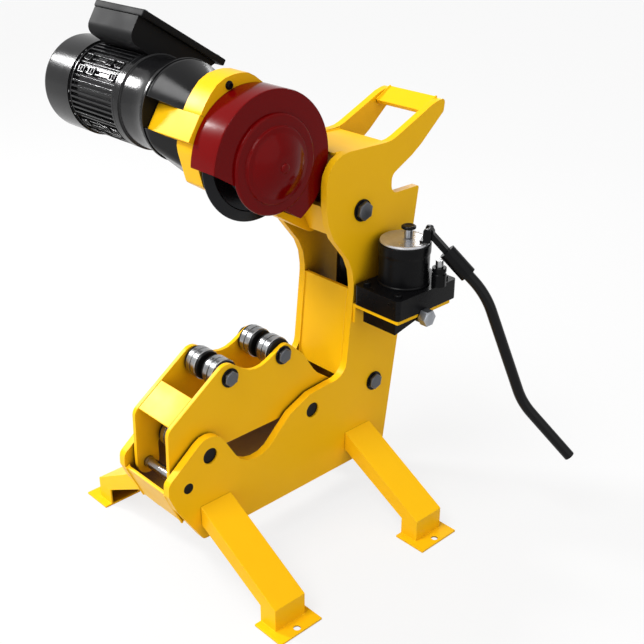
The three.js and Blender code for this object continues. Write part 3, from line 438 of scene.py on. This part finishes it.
def tube(points, radius):
    """A round bar along points in metres."""
    data = bpy.data.curves.new("route", "CURVE")
    data.dimensions = "3D"
    data.bevel_depth = radius * MM
    data.bevel_resolution = 8
    data.use_fill_caps = True
    line = data.splines.new("POLY")
    line.points.add(len(points) - 1)
    for spot, point in zip(line.points, points):
        spot.co = (*point, 1)
    holder = bpy.data.objects.new("route", data)
    bpy.context.collection.objects.link(holder)
    shape = holder.evaluated_get(bpy.context.evaluated_depsgraph_get())
    bm = bmesh.new()
    bm.from_mesh(shape.to_mesh())
    shape.to_mesh_clear()
    bpy.data.objects.remove(holder)
    bmesh.ops.remove_doubles(bm, verts=bm.verts, dist=SAME_SPOT)
    return bm


def carve(obj, cutter):
    """Cuts a shape out of a piece and keeps the result as the piece's own mesh."""
    mesh = bpy.data.meshes.new("cutter")
    cutter.to_mesh(mesh)
    cutter.free()
    tool = bpy.data.objects.new("cutter", mesh)
    bpy.context.collection.objects.link(tool)
    step = obj.modifiers.new("carve", "BOOLEAN")
    step.object = tool
    step.solver = "EXACT"
    step.operation = "DIFFERENCE"
    even = obj.modifiers["even_shading"]
    even.show_viewport = False
    bpy.context.view_layer.update()
    shape = obj.evaluated_get(bpy.context.evaluated_depsgraph_get())
    bm = bmesh.new()
    bm.from_mesh(shape.to_mesh())
    shape.to_mesh_clear()
    obj.modifiers.remove(step)
    bm.to_mesh(obj.data)
    bm.free()
    obj.data.shade_smooth()
    obj.data.set_sharp_from_angle(angle=math.radians(40))
    even.show_viewport = True
    bpy.data.objects.remove(tool)
    bpy.data.meshes.remove(mesh)


# Plates, castings and legs keep their shape and get softened edges
for node in ("side_plate_right", "side_plate_left", "column_front_plate", "front_base_plate",
             "rear_base_plate", "top_cover_plate", "handle_grip", "cradle_plate_right",
             "cradle_plate_left", "cradle_cross_plate", "leg_front_right", "leg_front_left",
             "leg_rear_right", "leg_rear_left", "pump_bracket", "stop_block"):
    dressed(node, 1.0, column_finish if node == "side_plate_left" else None)
dressed("head_arm", 1.6)
dressed("pump_casting", 2.0)
dressed("terminal_box", 3.0, box_finish)
dressed("terminal_lid", 2.5, box_finish)
dressed("lever_bracket", 0.6)
dressed("lever_socket", 0.8)

# Weld beads
BEAD = 2.4
BEAD_STEP = 3.2
BEAD_SIDES = 12
BEAD_INSET = 0.0006


def bead(start, stop):
    """A run of weld between two points in metres, laid in even ripples."""
    start, stop = Vector(start), Vector(stop)
    length = (stop - start).length
    count = max(2, round(length / (BEAD_STEP * MM)))
    step = length / count / MM
    outline = [(0, 0)]
    for index in range(count):
        low = index * step
        outline += [(BEAD * 0.78, low + step * 0.05), (BEAD, low + step * 0.5)]
    outline += [(BEAD * 0.7, length / MM), (0, length / MM)]
    return turned(outline, start, (stop - start).normalized(), BEAD_SIDES)


def long_edges(node):
    """The two long straight edges at the end of a cross plate, from its own mesh, as (y, z) pairs."""
    mesh = frame["nodes"][node].data
    far = max(vert.co.x for vert in mesh.vertices)
    spots = []
    for vert in mesh.vertices:
        spot = Vector((vert.co.y, vert.co.z))
        if vert.co.x > far - 1e-5 and all((spot - other).length > 1e-5 for other in spots):
            spots.append(spot)
    pairs = [(a, b) for first, a in enumerate(spots) for b in spots[first + 1:]]
    # Of the six pairs of corners, the short edges come first, then the long ones and the diagonals
    pairs.sort(key=lambda pair: (pair[0] - pair[1]).length)
    return pairs[2:4]


for node in ("column_front_plate", "front_base_plate", "rear_base_plate", "top_cover_plate", "handle_grip"):
    low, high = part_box(node)
    runs = [bead((x, a.x, a.y), (x, b.x, b.y))
            for x in (low.x + BEAD_INSET, high.x - BEAD_INSET) for a, b in long_edges(node)]
    piece(f"{node}_welds", gather(*runs), "yellow_paint", "frame", sharp=60)

# Rollers: a turned steel ring with one thin groove, and a black seal at each end
ROLLER_BORE = 12.7
ROLLER_SEAL = 5.0
GROOVE_HALF = 1.7
GROOVE_FLOOR = 1.1
GROOVE_DEEP = 2.4
SEAL_STEP = 1.6


def roller(node):
    low, high = reach(node)
    half = (high - low) / 2
    spot = middle(node)
    radius = round_radius(node)
    end = half - ROLLER_SEAL
    side = [(ROLLER_BORE, end), (radius - 1, end), (radius, end - 1), (radius, GROOVE_HALF),
            (radius - GROOVE_DEEP, GROOVE_FLOOR)]
    stand_in(node, "turned", turned(mirrored(side) + [side[0]], spot, edge=0.25))
    seal = radius - SEAL_STEP
    seals = []
    for sign in (1, -1):
        start, stop = sign * (end + 0.1), sign * half
        seals.append(turned([(ROLLER_BORE, start), (seal, start), (seal, stop - sign), (seal - 1, stop),
                             (ROLLER_BORE, stop), (ROLLER_BORE, start)], spot, edge=0.3))
    piece(f"{node}_seals", gather(*seals), "black_plastic", body_of[node])


for station in ("frame_roller", "cradle_roller"):
    for end in ("front", "rear"):
        for side in SIDES:
            roller(f"{station}_{end}_{side}")

# Bolts, pins and rods
BOLT_SPIN = 0.35
WASHER_THICK = 2.6
ROLLER_PIN = 12.1


def bolt_end(sign, face, spot, head, wall):
    """A hexagon head with a turned crown, outwards from a plate's face."""
    place = Vector((face, spot.y, spot.z))
    axis = (sign, 0, 0)
    rim = head * 0.82
    crown = [(0, wall - 4), (rim, wall - 4), (rim, wall - 0.9), (head * 0.72, wall), (0, wall)]
    return [hexagon(head, 2, wall - 1, place, axis, 1.0, BOLT_SPIN),
            turned(crown, place, axis, PIN_STEPS, 0.4)]


def through_bolt(node, plate, radius, head, washer):
    """A bolt through a pair of plates, with a head and a washer on the outside of each."""
    low, high = reach(node)
    spot = middle(node)
    shapes = [turned(rod(radius, low + 4, high - 4), cross_line(node), steps=PIN_STEPS)]
    middle_x = spot.x / MM
    out = reach(plate)[1] - middle_x + FIT
    wall = (high - low) / 2 - out
    rings = []
    for sign in SIDES.values():
        face = (middle_x + sign * out) * MM
        shapes += bolt_end(sign, face, spot, head, wall)
        rings.append(turned(rod(washer, 0, WASHER_THICK), Vector((face, spot.y, spot.z)), (sign, 0, 0),
                            PIN_STEPS, 0.6))
    stand_in(node, "set", gather(*shapes), look=finishes["dark_steel"])
    piece(f"{node}_washers", gather(*rings), "black_paint", body_of[node])


through_bolt("pivot_bolt", "side_plate_right", 14, 17.2, 19.6)
through_bolt("cylinder_bolt", "side_plate_right", 9, 15.6, 18.4)
for end in ("front", "rear"):
    through_bolt(f"cradle_pin_{end}", "cradle_plate_right", ROLLER_PIN, 14.4, 16.8)


def recessed_pin(node):
    """A roller pin with a plain round head sunk in the plate."""
    radius = round_radius(node)
    low, high = reach(node)
    half = (high - low) / 2
    inner = half - 11
    side = [(0, half - 0.6), (radius - 4, half), (radius, half), (radius, inner), (ROLLER_PIN, inner)]
    piece(f"{node}_turned", turned(mirrored(side), middle(node), steps=PIN_STEPS, edge=0.9), "black_paint",
          body_of[node], node)


recessed_pin("frame_pin_front")
recessed_pin("frame_pin_rear")

# The cradle's rod is bright between the plates and black at its ends
ROD_RADIUS = 9.4
ROD_CAP = 1.2
rod_low, rod_high = reach("cradle_rod")
rod_line = cross_line("cradle_rod")
stand_in("cradle_rod", "turned", turned(rod(ROD_RADIUS, rod_low + ROD_CAP, rod_high - ROD_CAP), rod_line,
                                        steps=PIN_STEPS))
piece("cradle_rod_ends", gather(*(
    turned(rod(ROD_RADIUS, start, stop), rod_line, steps=PIN_STEPS, edge=0.5)
    for start, stop in ((rod_low, rod_low + ROD_CAP), (rod_high - ROD_CAP, rod_high)))),
    "black_paint", body_of["cradle_rod"])

# Cutting wheel, its guard and the hub
WHEEL_RADIUS = 104
WHEEL_BORE = 18.3
wheel_low, wheel_high = reach("cutting_wheel")
wheel_face = (wheel_low - wheel_high) / 2
wheel_outline = mirrored([
    (WHEEL_BORE, wheel_face), (58, wheel_face), (60, wheel_face + 1.4), (84, wheel_face + 1.4),
    (86, wheel_face + 0.3), (WHEEL_RADIUS - 16, wheel_face + 0.3), (WHEEL_RADIUS - 0.2, -0.7),
])
wheel_outline.append(wheel_outline[0])
stand_in("cutting_wheel", "ground", turned(wheel_outline, axle, edge=0.2), sharp=20, look=wheel_finish)

GUARD_RADIUS = 118
GUARD_BORE = 114
GUARD_WALL = 4
GUARD_CUT = 57
guard_back, guard_front = reach("cutter_guard")
drum = turned([
    (0, guard_front), (GUARD_RADIUS - 2.5, guard_front), (GUARD_RADIUS - 0.7, guard_front - 0.7),
    (GUARD_RADIUS, guard_front - 2.5), (GUARD_RADIUS, guard_back), (GUARD_BORE, guard_back),
    (GUARD_BORE, guard_front - GUARD_WALL), (0, guard_front - GUARD_WALL),
], guard_line)
bmesh.ops.bisect_plane(drum, geom=drum.verts[:] + drum.edges[:] + drum.faces[:],
                       plane_co=guard_line - head_up * GUARD_CUT * MM, plane_no=-head_up, clear_outer=True)
bmesh.ops.holes_fill(drum, edges=[edge for edge in drum.edges if edge.is_boundary], sides=0)
stand_in("cutter_guard", "drum", drum, sharp=40)

HUB_STEPS = 10
HUB_KNOB = 8
DOME_RADIUS = 55
hub_root, hub_tip = reach("guard_hub")
hub_rim = hub_root + 11
dome_high = hub_tip - 3 - hub_rim
hub_outline = [
    (0, hub_root), (81, hub_root), (81, hub_root + 3.4), (79, hub_root + 5.6), (76.5, hub_root + 6),
    (64, hub_root + 6), (62.6, hub_root + 6.6), (62, hub_root + 8), (61.6, hub_root + 10), (60, hub_rim),
    (DOME_RADIUS, hub_rim),
]
for step in range(1, HUB_STEPS + 1):
    share = step / HUB_STEPS
    hub_outline.append((DOME_RADIUS - (DOME_RADIUS - HUB_KNOB - 2) * share,
                        hub_rim + dome_high * math.sin(share * math.pi / 2)))
hub_outline += [(HUB_KNOB, hub_tip - 3), (HUB_KNOB - 0.6, hub_tip - 0.8), (HUB_KNOB - 3, hub_tip),
                (0, hub_tip)]
stand_in("guard_hub", "spun", turned(hub_outline, guard_line), sharp=60)

# Gear housing: a skin stretched over pairs of discs, one round the axle and one round the motor
SPINDLE_END = 66
MOTOR_END = 82
MOTOR_DRAFT = 30
housing_far, housing_near = reach("gear_housing")
housing_rings = (
    (housing_near, 0.6, MOTOR_DRAFT + 0.6), (housing_near - 1.2, 0, MOTOR_DRAFT), (housing_far + 9, 0, 0),
    (housing_far + 3, 2.6, 0), (housing_far + 0.8, 6, 0), (housing_far, 9, 0.8),
)
housing = bmesh.new()
for along, near_axle, near_motor in housing_rings:
    for centre, radius in ((guard_line, SPINDLE_END - near_axle), (motor_axis, MOTOR_END - near_motor)):
        disc = bmesh.ops.create_circle(housing, segments=ROUND_STEPS, radius=radius * MM)
        set_along(housing, disc["verts"], ALONG_X, (along * MM, centre.y, centre.z))
bmesh.ops.convex_hull(housing, input=housing.verts)
bmesh.ops.delete(housing, geom=[vert for vert in housing.verts if not vert.link_faces], context="VERTS")
bmesh.ops.dissolve_limit(housing, angle_limit=math.radians(0.5), verts=housing.verts, edges=housing.edges)
housing_piece = stand_in("gear_housing", "cast", housing, sharp=40)

# The stop block reaches into a notch in the housing's front
STOP_AHEAD = 125
STOP_WALL = 13
STOP_LOW, STOP_HIGH = -25, 20
NOTCH_LONG = 60
head_reach = (axle - pivot).yz.length / MM
notch_back = -head_reach - STOP_AHEAD + STOP_WALL + FIT
carve(housing_piece, block((housing_far - 3, notch_back - NOTCH_LONG, STOP_LOW - FIT),
                           (housing_near + 3, notch_back, STOP_HIGH + FIT), 0, head_turn))

# A thin gasket between the housing and the motor's flange, near black so the flange face in the notch reads
# as painted shade
SHADE_GASKET_SKIN = 0.06
SHADE_GASKET_BORE = 12
flange_low, flange_high = reach("motor_flange")
shade_gasket_low, shade_gasket_high = flange_high + SHADE_GASKET_SKIN, housing_far - SHADE_GASKET_SKIN
piece("housing_shade_gasket", turned([
    (SHADE_GASKET_BORE, shade_gasket_low), (MOTOR_END, shade_gasket_low), (MOTOR_END, shade_gasket_high),
    (SHADE_GASKET_BORE, shade_gasket_high), (SHADE_GASKET_BORE, shade_gasket_low),
], motor_axis), "black_plastic", body_of["gear_housing"])
flange_outline = [
    (11, flange_high), (84, flange_high), (84, flange_high - 5), (82.5, flange_high - 7),
    (79.5, flange_high - 16), (77.6, flange_high - 28), (76.6, flange_high - 42), (76.6, flange_low + 16),
    (77.4, flange_low + 13), (80, flange_low + 12), (80, flange_low), (11, flange_low),
]
stand_in("motor_flange", "turned", turned(flange_outline, motor_axis, edge=0.6), sharp=30)

# Motor shell with cooling fins, tall in four bands, and raised frames between the bands
MOTOR_RADIUS = 80
MOTOR_BORE = 46
RIM = 6
FINS = 54
FIN_ROOT = 73
FIN_HALF = 1.5
FIN_SINK = 0.5
TALL_FIN = MOTOR_RADIUS - 0.3
LOW_FIN = MOTOR_RADIUS - 3.2
TALL_BANDS = ((-26, 26), (64, 116), (154, 206), (244, 296))
body_low, body_high = reach("motor_frame")


def motor_turn(degrees):
    return Matrix.Translation(motor_axis) @ Matrix.Rotation(math.radians(degrees), 4, "X")


frame_outline = [
    (MOTOR_BORE, body_high), (MOTOR_RADIUS, body_high), (MOTOR_RADIUS, body_high - RIM),
    (FIN_ROOT, body_high - RIM), (FIN_ROOT, body_low + RIM), (MOTOR_RADIUS, body_low + RIM),
    (MOTOR_RADIUS, body_low), (11, body_low), (11, body_low + 6), (MOTOR_BORE, body_low + 6),
    (MOTOR_BORE, body_high),
]
motor_shapes = [turned(frame_outline, motor_axis, edge=0.7)]
for index in range(FINS):
    angle = index / FINS * 360
    tall = any(first <= angle <= last or first <= angle - 360 <= last for first, last in TALL_BANDS)
    motor_shapes.append(block((body_low + RIM - FIN_SINK, FIN_ROOT - 1, -FIN_HALF),
                              (body_high - RIM + FIN_SINK, TALL_FIN if tall else LOW_FIN, FIN_HALF),
                              0.5, motor_turn(angle)))

BOSS_LONG = 9
BOSS_WIDE = 7
BOSS_BAR = 2.6
BOSS_TURN = 9
BOSS_ROWS = (0.16, 0.38, 0.62, 0.84)
BOSS_BARS = (
    (-BOSS_LONG, BOSS_BAR - BOSS_LONG, -BOSS_WIDE, BOSS_WIDE),
    (BOSS_LONG - BOSS_BAR, BOSS_LONG, -BOSS_WIDE, BOSS_WIDE),
    (-BOSS_BAR / 2, BOSS_BAR / 2, -BOSS_WIDE, BOSS_WIDE),
    (-BOSS_LONG, BOSS_LONG, -BOSS_WIDE, BOSS_BAR - BOSS_WIDE),
    (-BOSS_LONG, BOSS_LONG, BOSS_WIDE - BOSS_BAR, BOSS_WIDE),
)


def boss_frame(along, degrees):
    """A raised frame with a middle bar, cast on the motor's shell."""
    return [block((along + start, FIN_ROOT - 2, low), (along + stop, MOTOR_RADIUS - 0.8, high), 0.7,
                  motor_turn(degrees)) for start, stop, low, high in BOSS_BARS]


for quarter in (45, 135, 225, 315):
    for row, share in enumerate(BOSS_ROWS):
        for side in (-1, 1):
            # The two middle rows have one frame each, on either side in turn
            if (row + (side > 0)) % 2 and row in (1, 2):
                continue
            motor_shapes += boss_frame(body_low + (body_high - body_low) * share, quarter + side * BOSS_TURN)
stand_in("motor_frame", "finned", gather(*motor_shapes))

# Fan cover with three rings of slots
SLOT_HALF = 2.5
SLOT_RINGS = ((24, 8, 12), (41, 16, 13), (58, 22, 12))
cover_low, cover_high = reach("fan_cover")
cover_outline = [
    (83, cover_high), (83, cover_low + 10), (82.4, cover_low + 6.5), (80.6, cover_low + 3),
    (77.5, cover_low + 0.8), (74, cover_low), (0, cover_low), (0, cover_low + 3), (74, cover_low + 3),
    (80, cover_low + 9), (80, cover_high), (83, cover_high),
]
cover = stand_in("fan_cover", "pressed", turned(cover_outline, motor_axis), sharp=40)
slots = []
for ring, count, long in SLOT_RINGS:
    for index in range(count):
        slots.append(block((cover_low - 2, ring - long / 2, -SLOT_HALF),
                           (cover_low + 6, ring + long / 2, SLOT_HALF), 0, motor_turn(index / count * 360)))
carve(cover, gather(*slots))


# Cap screws
def cap_screw(place, axis, head, high, socket):
    bowl = [(0, -0.5), (head, -0.5), (head, high - 0.8), (head - 0.8, high), (socket, high),
            (socket, high - 2.6), (0, high - 2.6)]
    return turned(bowl, place, axis, SCREW_STEPS, 0.25)


def corners(low, high, inset):
    return [(x, y) for x in (low.x + inset, high.x - inset) for y in (low.y + inset, high.y - inset)]


RING_AHEAD = 96
RING_UP = 81
cheek_face = Vector(((guard_back - FIT) * MM, 0, 0))
ring_spot = guard_line + cheek_face + (head_ahead * RING_AHEAD + head_up * RING_UP) * MM
piece("ring_bolt", gather(
    turned([(0, -0.5), (7, -0.5), (7, 0.8), (6, 1.2), (0, 1.2)], ring_spot, steps=PIN_STEPS),
    cap_screw(ring_spot, ALONG_X, 5.2, 5.2, 2.6)), "black_paint", "head")

LID_INSET = 0.012
upright = head_turn.inverted()
lid_spots = [upright @ vert.co for vert in frame["nodes"]["terminal_lid"].data.vertices]
lid_low = Vector([min(spot[axis] for spot in lid_spots) for axis in range(3)])
lid_high = Vector([max(spot[axis] for spot in lid_spots) for axis in range(3)])
lid_up = head_turn.to_3x3() @ Vector(ALONG_Z)
piece("terminal_lid_screws", gather(*(
    cap_screw(head_turn @ Vector((x, y, lid_high.z)), lid_up, 4.2, 2.2, 2.0)
    for x, y in corners(lid_low, lid_high, LID_INSET))), "zinc_steel", "head")

GLAND_BORE = 5.2
gland_low, gland_high = reach("cable_gland", 1)
gland = middle("cable_gland")
gland_outline = [
    (GLAND_BORE, gland_low), (15, gland_low), (15, gland_low + 4.6), (11.5, gland_low + 5),
    (11.5, gland_low + 8), (12, gland_low + 8.6), (12, gland_high - 6), (10.8, gland_high - 2.4),
    (8.6, gland_high - 0.4), (7.4, gland_high), (GLAND_BORE, gland_high), (GLAND_BORE, gland_low),
]
stand_in("cable_gland", "turned",
         turned(gland_outline, Vector((gland.x, 0, gland.z)), ALONG_Y, PIN_STEPS, 0.3))

# Hand pump: the reservoir and its cap
TANK_RADIUS = 46
TANK_WAIST = 44.5
CAP_RADIUS = 44
tank_low, tank_high = reach("reservoir", 2)
tank_line = upright_line("reservoir")
tank_outline = [
    (0, tank_low), (TANK_RADIUS, tank_low), (TANK_RADIUS, tank_low + 3), (TANK_WAIST, tank_low + 4.5),
    (TANK_WAIST, tank_low + 52), (TANK_WAIST + 0.3, tank_low + 54), (TANK_RADIUS - 0.2, tank_low + 58),
    (TANK_RADIUS, tank_low + 60), (TANK_RADIUS, tank_high - 1.5), (TANK_RADIUS - 1, tank_high),
    (0, tank_high),
]
stand_in("reservoir", "turned", turned(tank_outline, tank_line, ALONG_Z, edge=0.4), sharp=40)
cap_low, cap_high = reach("reservoir_cap", 2)
cap_outline = [
    (0, cap_low), (CAP_RADIUS, cap_low), (CAP_RADIUS, cap_low + 1.6), (CAP_RADIUS - 0.8, cap_high - 0.6),
    (CAP_RADIUS - 2.4, cap_high), (CAP_RADIUS - 6, cap_high), (CAP_RADIUS - 7, cap_high - 0.8),
    (0, cap_high - 0.8),
]
stand_in("reservoir_cap", "pressed", turned(cap_outline, tank_line, ALONG_Z), sharp=40)

# The filler plug's ribbed knob on a zinc neck
KNOB = 13
KNOB_WALL = 6
RIBS = 24
RIB_HALF = 0.9
NECK_RADIUS = 7.4
plug_low, plug_high = reach("filler_plug", 2)
plug_line = upright_line("filler_plug")
knob_low = plug_high - KNOB_WALL
knob = turned([
    (0, knob_low), (KNOB - 2, knob_low), (KNOB - 0.8, knob_low + 1), (KNOB - 0.8, plug_high - 1.4),
    (KNOB - 2, plug_high), (KNOB - 6, plug_high), (KNOB - 7, plug_high - 0.8), (0, plug_high - 0.8),
], plug_line, ALONG_Z, PIN_STEPS, 0.3)
ribs = [block((0, -RIB_HALF, knob_low + 1), (KNOB - 0.1, RIB_HALF, plug_high - 1.2), 0.3,
              Matrix.Translation(plug_line) @ Matrix.Rotation(index / RIBS * math.tau, 4, "Z"))
        for index in range(RIBS)]
stand_in("filler_plug", "knob", gather(knob, *ribs))
piece("filler_plug_neck", gather(
    turned(rod(NECK_RADIUS, plug_low, knob_low - 0.1), plug_line, ALONG_Z, PIN_STEPS, 0.5),
    hexagon(7.5, plug_low, plug_low + 5, plug_line, ALONG_Z, 0.5)), "zinc_steel", body_of["filler_plug"])

# Pump barrel and plunger
BARREL_RADIUS = 13
BARREL_BORE = 7.4
BARREL_NECK = 11.6
PLUNGER_RADIUS = 7
barrel_low, barrel_high = reach("pump_barrel", 2)
barrel_outline = [
    (0, barrel_low), (BARREL_RADIUS, barrel_low), (BARREL_RADIUS, barrel_high - 12),
    (BARREL_NECK, barrel_high - 11), (BARREL_NECK, barrel_high - 8), (12.6, barrel_high - 7),
    (12.6, barrel_high), (BARREL_BORE, barrel_high), (BARREL_BORE, barrel_low + 6), (0, barrel_low + 6),
]
stand_in("pump_barrel", "turned",
         turned(barrel_outline, upright_line("pump_barrel"), ALONG_Z, PIN_STEPS, 0.4))
stand_in("pump_plunger", "turned", turned(rod(PLUNGER_RADIUS, *reach("pump_plunger", 2)),
                                          upright_line("pump_plunger"), ALONG_Z, PIN_STEPS, 0.8))

# Release valve
VALVE_STEM = 7
VALVE_HEAD = 15.6
VALVE_CROWN = 12.6
valve_low, valve_high = reach("release_valve")
valve_line = cross_line("release_valve")
stand_in("release_valve", "set", gather(
    turned(rod(VALVE_STEM, valve_low, valve_high - 2), valve_line, steps=PIN_STEPS, edge=0.4),
    hexagon(VALVE_HEAD, valve_high - 16.4, valve_high - 1, valve_line, ALONG_X, 1.0),
    turned([(0, valve_high - 4), (VALVE_CROWN, valve_high - 4), (VALVE_CROWN, valve_high - 0.8),
            (11.2, valve_high), (0, valve_high)], valve_line, steps=PIN_STEPS, edge=0.2)))

CASTING_INSET = 0.016
casting_low, casting_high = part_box("pump_casting")
casting_top = casting_high.z - 0.0005
piece("pump_casting_screws", gather(*(
    cap_screw(Vector((x, y, casting_top)), ALONG_Z, 6.5, 6.0, 3.0)
    for x, y in corners(casting_low, casting_high, CASTING_INSET))), "black_paint", "frame")

# Lever tube: points run outward and up from the fulcrum, in millimetres
OUTWARD = math.radians(30)
TUBE_RADIUS = 9.8
TUBE_SPOTS = [(34.9, -34.9), (103, -103), (182, -304), (274.8, -399.8)]
TUBE_BENDS = (32, 26)
BEND_STEPS = 12
fulcrum = Vector(joint_of["lever_pump"]["pos_m"])


def lever_route():
    spots = [Vector(spot) for spot in TUBE_SPOTS]
    route = [spots[0]]
    for index, bend in enumerate(TUBE_BENDS):
        corner = spots[index + 1]
        enter = corner - (corner - spots[index]).normalized() * bend
        leave = corner + (spots[index + 2] - corner).normalized() * bend
        for step in range(BEND_STEPS + 1):
            part = step / BEND_STEPS
            route.append(enter * (1 - part) ** 2 + corner * 2 * part * (1 - part) + leave * part ** 2)
    route.append(spots[3])
    out = Vector((math.cos(OUTWARD), math.sin(OUTWARD), 0))
    return [fulcrum + (out * spot.x + Vector((0, 0, spot.y))) * MM for spot in route]


stand_in("lever_tube", "bent", tube(lever_route(), TUBE_RADIUS), look=lever_finish)

# Lift cylinder and ram, leaning a little
CYLINDER_RADIUS = 27
CYLINDER_BORE = 18.4
RAM_RADIUS = 18
RAM_NECK = 9.5
jack = middle("cylinder_bolt")
lean_axis = Vector(joint_of["ram_slide"]["axis"])


def up_the_lean(level):
    """How far along the leaning line a level lies from the cylinder's bolt, in millimetres."""
    return (level - jack.z / MM) / lean_axis.z


cylinder_top = up_the_lean(reach("lift_cylinder", 2)[1]) - 1
stand_in("lift_cylinder", "turned", turned([
    (0, -CYLINDER_RADIUS), (CYLINDER_RADIUS - 3, -CYLINDER_RADIUS), (CYLINDER_RADIUS, 3 - CYLINDER_RADIUS),
    (CYLINDER_RADIUS, cylinder_top - 1), (CYLINDER_RADIUS - 3, cylinder_top),
    (CYLINDER_BORE, cylinder_top), (CYLINDER_BORE, 40), (0, 40)], jack, lean_axis, edge=0.4))
ram_low = up_the_lean(reach("lift_ram", 2)[0]) + 1
ram_high = up_the_lean(reach("lift_ram", 2)[1]) - 0.4
stand_in("lift_ram", "turned", turned([
    (0, ram_low), (RAM_RADIUS, ram_low), (RAM_RADIUS, ram_high - 32), (RAM_NECK, ram_high - 32),
    (RAM_NECK, ram_high), (0, ram_high)], jack, lean_axis, PIN_STEPS, 0.8))

TAIL_BORE = 6.4
TAIL_RADIUS = 14
tail_low, tail_high = reach("tail_roller")
stand_in("tail_roller", "turned", turned([
    (TAIL_BORE, tail_low), (TAIL_RADIUS, tail_low), (TAIL_RADIUS, tail_high), (TAIL_BORE, tail_high),
    (TAIL_BORE, tail_low)], cross_line("tail_roller"), steps=PIN_STEPS, edge=0.8))

# CAD nodes that stay in sight get their finish
for name, obj in frame["nodes"].items():
    for holder in obj.material_slots:
        holder.material = finishes[slot_of[name]]

# Floor and sky, whose brightness differs for what is seen and for what they light
FLOOR_HALF = 30
FLOOR_SEEN = 0.15
FLOOR_LIT = 0.5
FLOOR_GLOW = 0.79
SKY_LIGHT = 0.34
SKY_SEEN = 0.78
WHITE = (1, 1, 1, 1)


def by_ray(tree, unseen, seen, target):
    """One level for what the camera sees, straight, in a gloss or through glass, and another for the rest."""
    paths = tree.nodes.new("ShaderNodeLightPath").outputs
    unrefracted = joined(tree, "MAXIMUM", paths["Is Camera Ray"], paths["Is Glossy Ray"])
    level = spread_out(tree, joined(tree, "MAXIMUM", unrefracted, paths["Is Transmission Ray"]))
    level.inputs["To Min"].default_value = unseen
    level.inputs["To Max"].default_value = seen
    tree.links.new(level.outputs["Result"], target)


floor_mesh = bmesh.new()
bmesh.ops.create_grid(floor_mesh, x_segments=1, y_segments=1, size=FLOOR_HALF)
floor_data = bpy.data.meshes.new("floor")
floor_mesh.to_mesh(floor_data)
floor_mesh.free()
floor = bpy.data.objects.new("floor", floor_data)
bpy.context.collection.objects.link(floor)
pale = bpy.data.materials.new("pale_floor")
pale.use_nodes = True
floor_inputs = pale.node_tree.nodes["Principled BSDF"].inputs
floor_inputs["Roughness"].default_value = 0.9
floor_inputs["Specular IOR Level"].default_value = 0.0
floor_inputs["Emission Color"].default_value = WHITE
by_ray(pale.node_tree, FLOOR_LIT, FLOOR_SEEN, floor_inputs["Base Color"])
by_ray(pale.node_tree, 0.0, FLOOR_GLOW, floor_inputs["Emission Strength"])
floor_data.materials.append(pale)

world = bpy.data.worlds.new("studio")
bpy.context.scene.world = world
world.use_nodes = True
sky_inputs = world.node_tree.nodes["Background"].inputs
sky_inputs["Color"].default_value = WHITE
by_ray(world.node_tree, SKY_LIGHT, SKY_SEEN, sky_inputs["Strength"])


# Lamps
def lamp(name, kind, place, aim, power, size):
    """A sun with its angle, or a softbox with its width and height in metres."""
    data = bpy.data.lights.new(name, kind)
    data.energy = power
    if kind == "SUN":
        data.angle = size
    else:
        data.shape = "RECTANGLE"
        data.size, data.size_y = size
    obj = bpy.data.objects.new(name, data)
    bpy.context.collection.objects.link(obj)
    obj.location = place
    obj.rotation_euler = (Vector(aim) - Vector(place)).to_track_quat("-Z", "Y").to_euler()


lamp("key_softbox", "AREA", (-2.2, -1.05, 1.95), (0, -0.1, 0.7), power=66, size=(0.44, 0.4))
lamp("top_sun", "SUN", (-0.15, -1.6, 2.6), (0, 0, 0), power=2.05, size=math.radians(30))
lamp("right_fill", "SUN", (2.6, -0.2, 1.6), (0, 0, 0.5), power=0.7, size=math.radians(70))
lamp("front_fill", "SUN", (0.25, -2.6, 0.5), (0, 0, 0.5), power=0.95, size=math.radians(60))

# A small softbox behind the object is mirrored in the reservoir's cap
CAMERA_PLACE = Vector((1.226984, -1.079958, 1.1695))
GLINT_ASIDE = Vector((0.012, 0.02, 0))
GLINT_AWAY = 2.0
cap_spot = middle("reservoir_cap") + GLINT_ASIDE
glance = (cap_spot - CAMERA_PLACE).normalized()
glance.z = -glance.z
lamp("back_glint", "AREA", cap_spot + glance * GLINT_AWAY, cap_spot, power=1.6, size=(0.16, 0.3))

# Camera
PHOTO_SIDE = 644
FOCAL_PIXELS = 1025.95
VIEW_RIGHT = Vector((0.68809, 0.72563, 0.00205))
VIEW_AHEAD = Vector((-0.65172, 0.61924, -0.43795))
camera_data = bpy.data.cameras.new("camera")
camera = bpy.data.objects.new("camera", camera_data)
bpy.context.collection.objects.link(camera)
bpy.context.scene.camera = camera
camera_data.sensor_width = 36
camera_data.lens = FOCAL_PIXELS / PHOTO_SIDE * camera_data.sensor_width
camera_data.clip_start = 0.05
camera_data.clip_end = 100
camera.matrix_world = Matrix.Translation(CAMERA_PLACE) @ Matrix(
    (VIEW_RIGHT, VIEW_RIGHT.cross(VIEW_AHEAD), -VIEW_AHEAD)).transposed().to_4x4()

bpy.context.scene.view_settings.view_transform = "Standard"
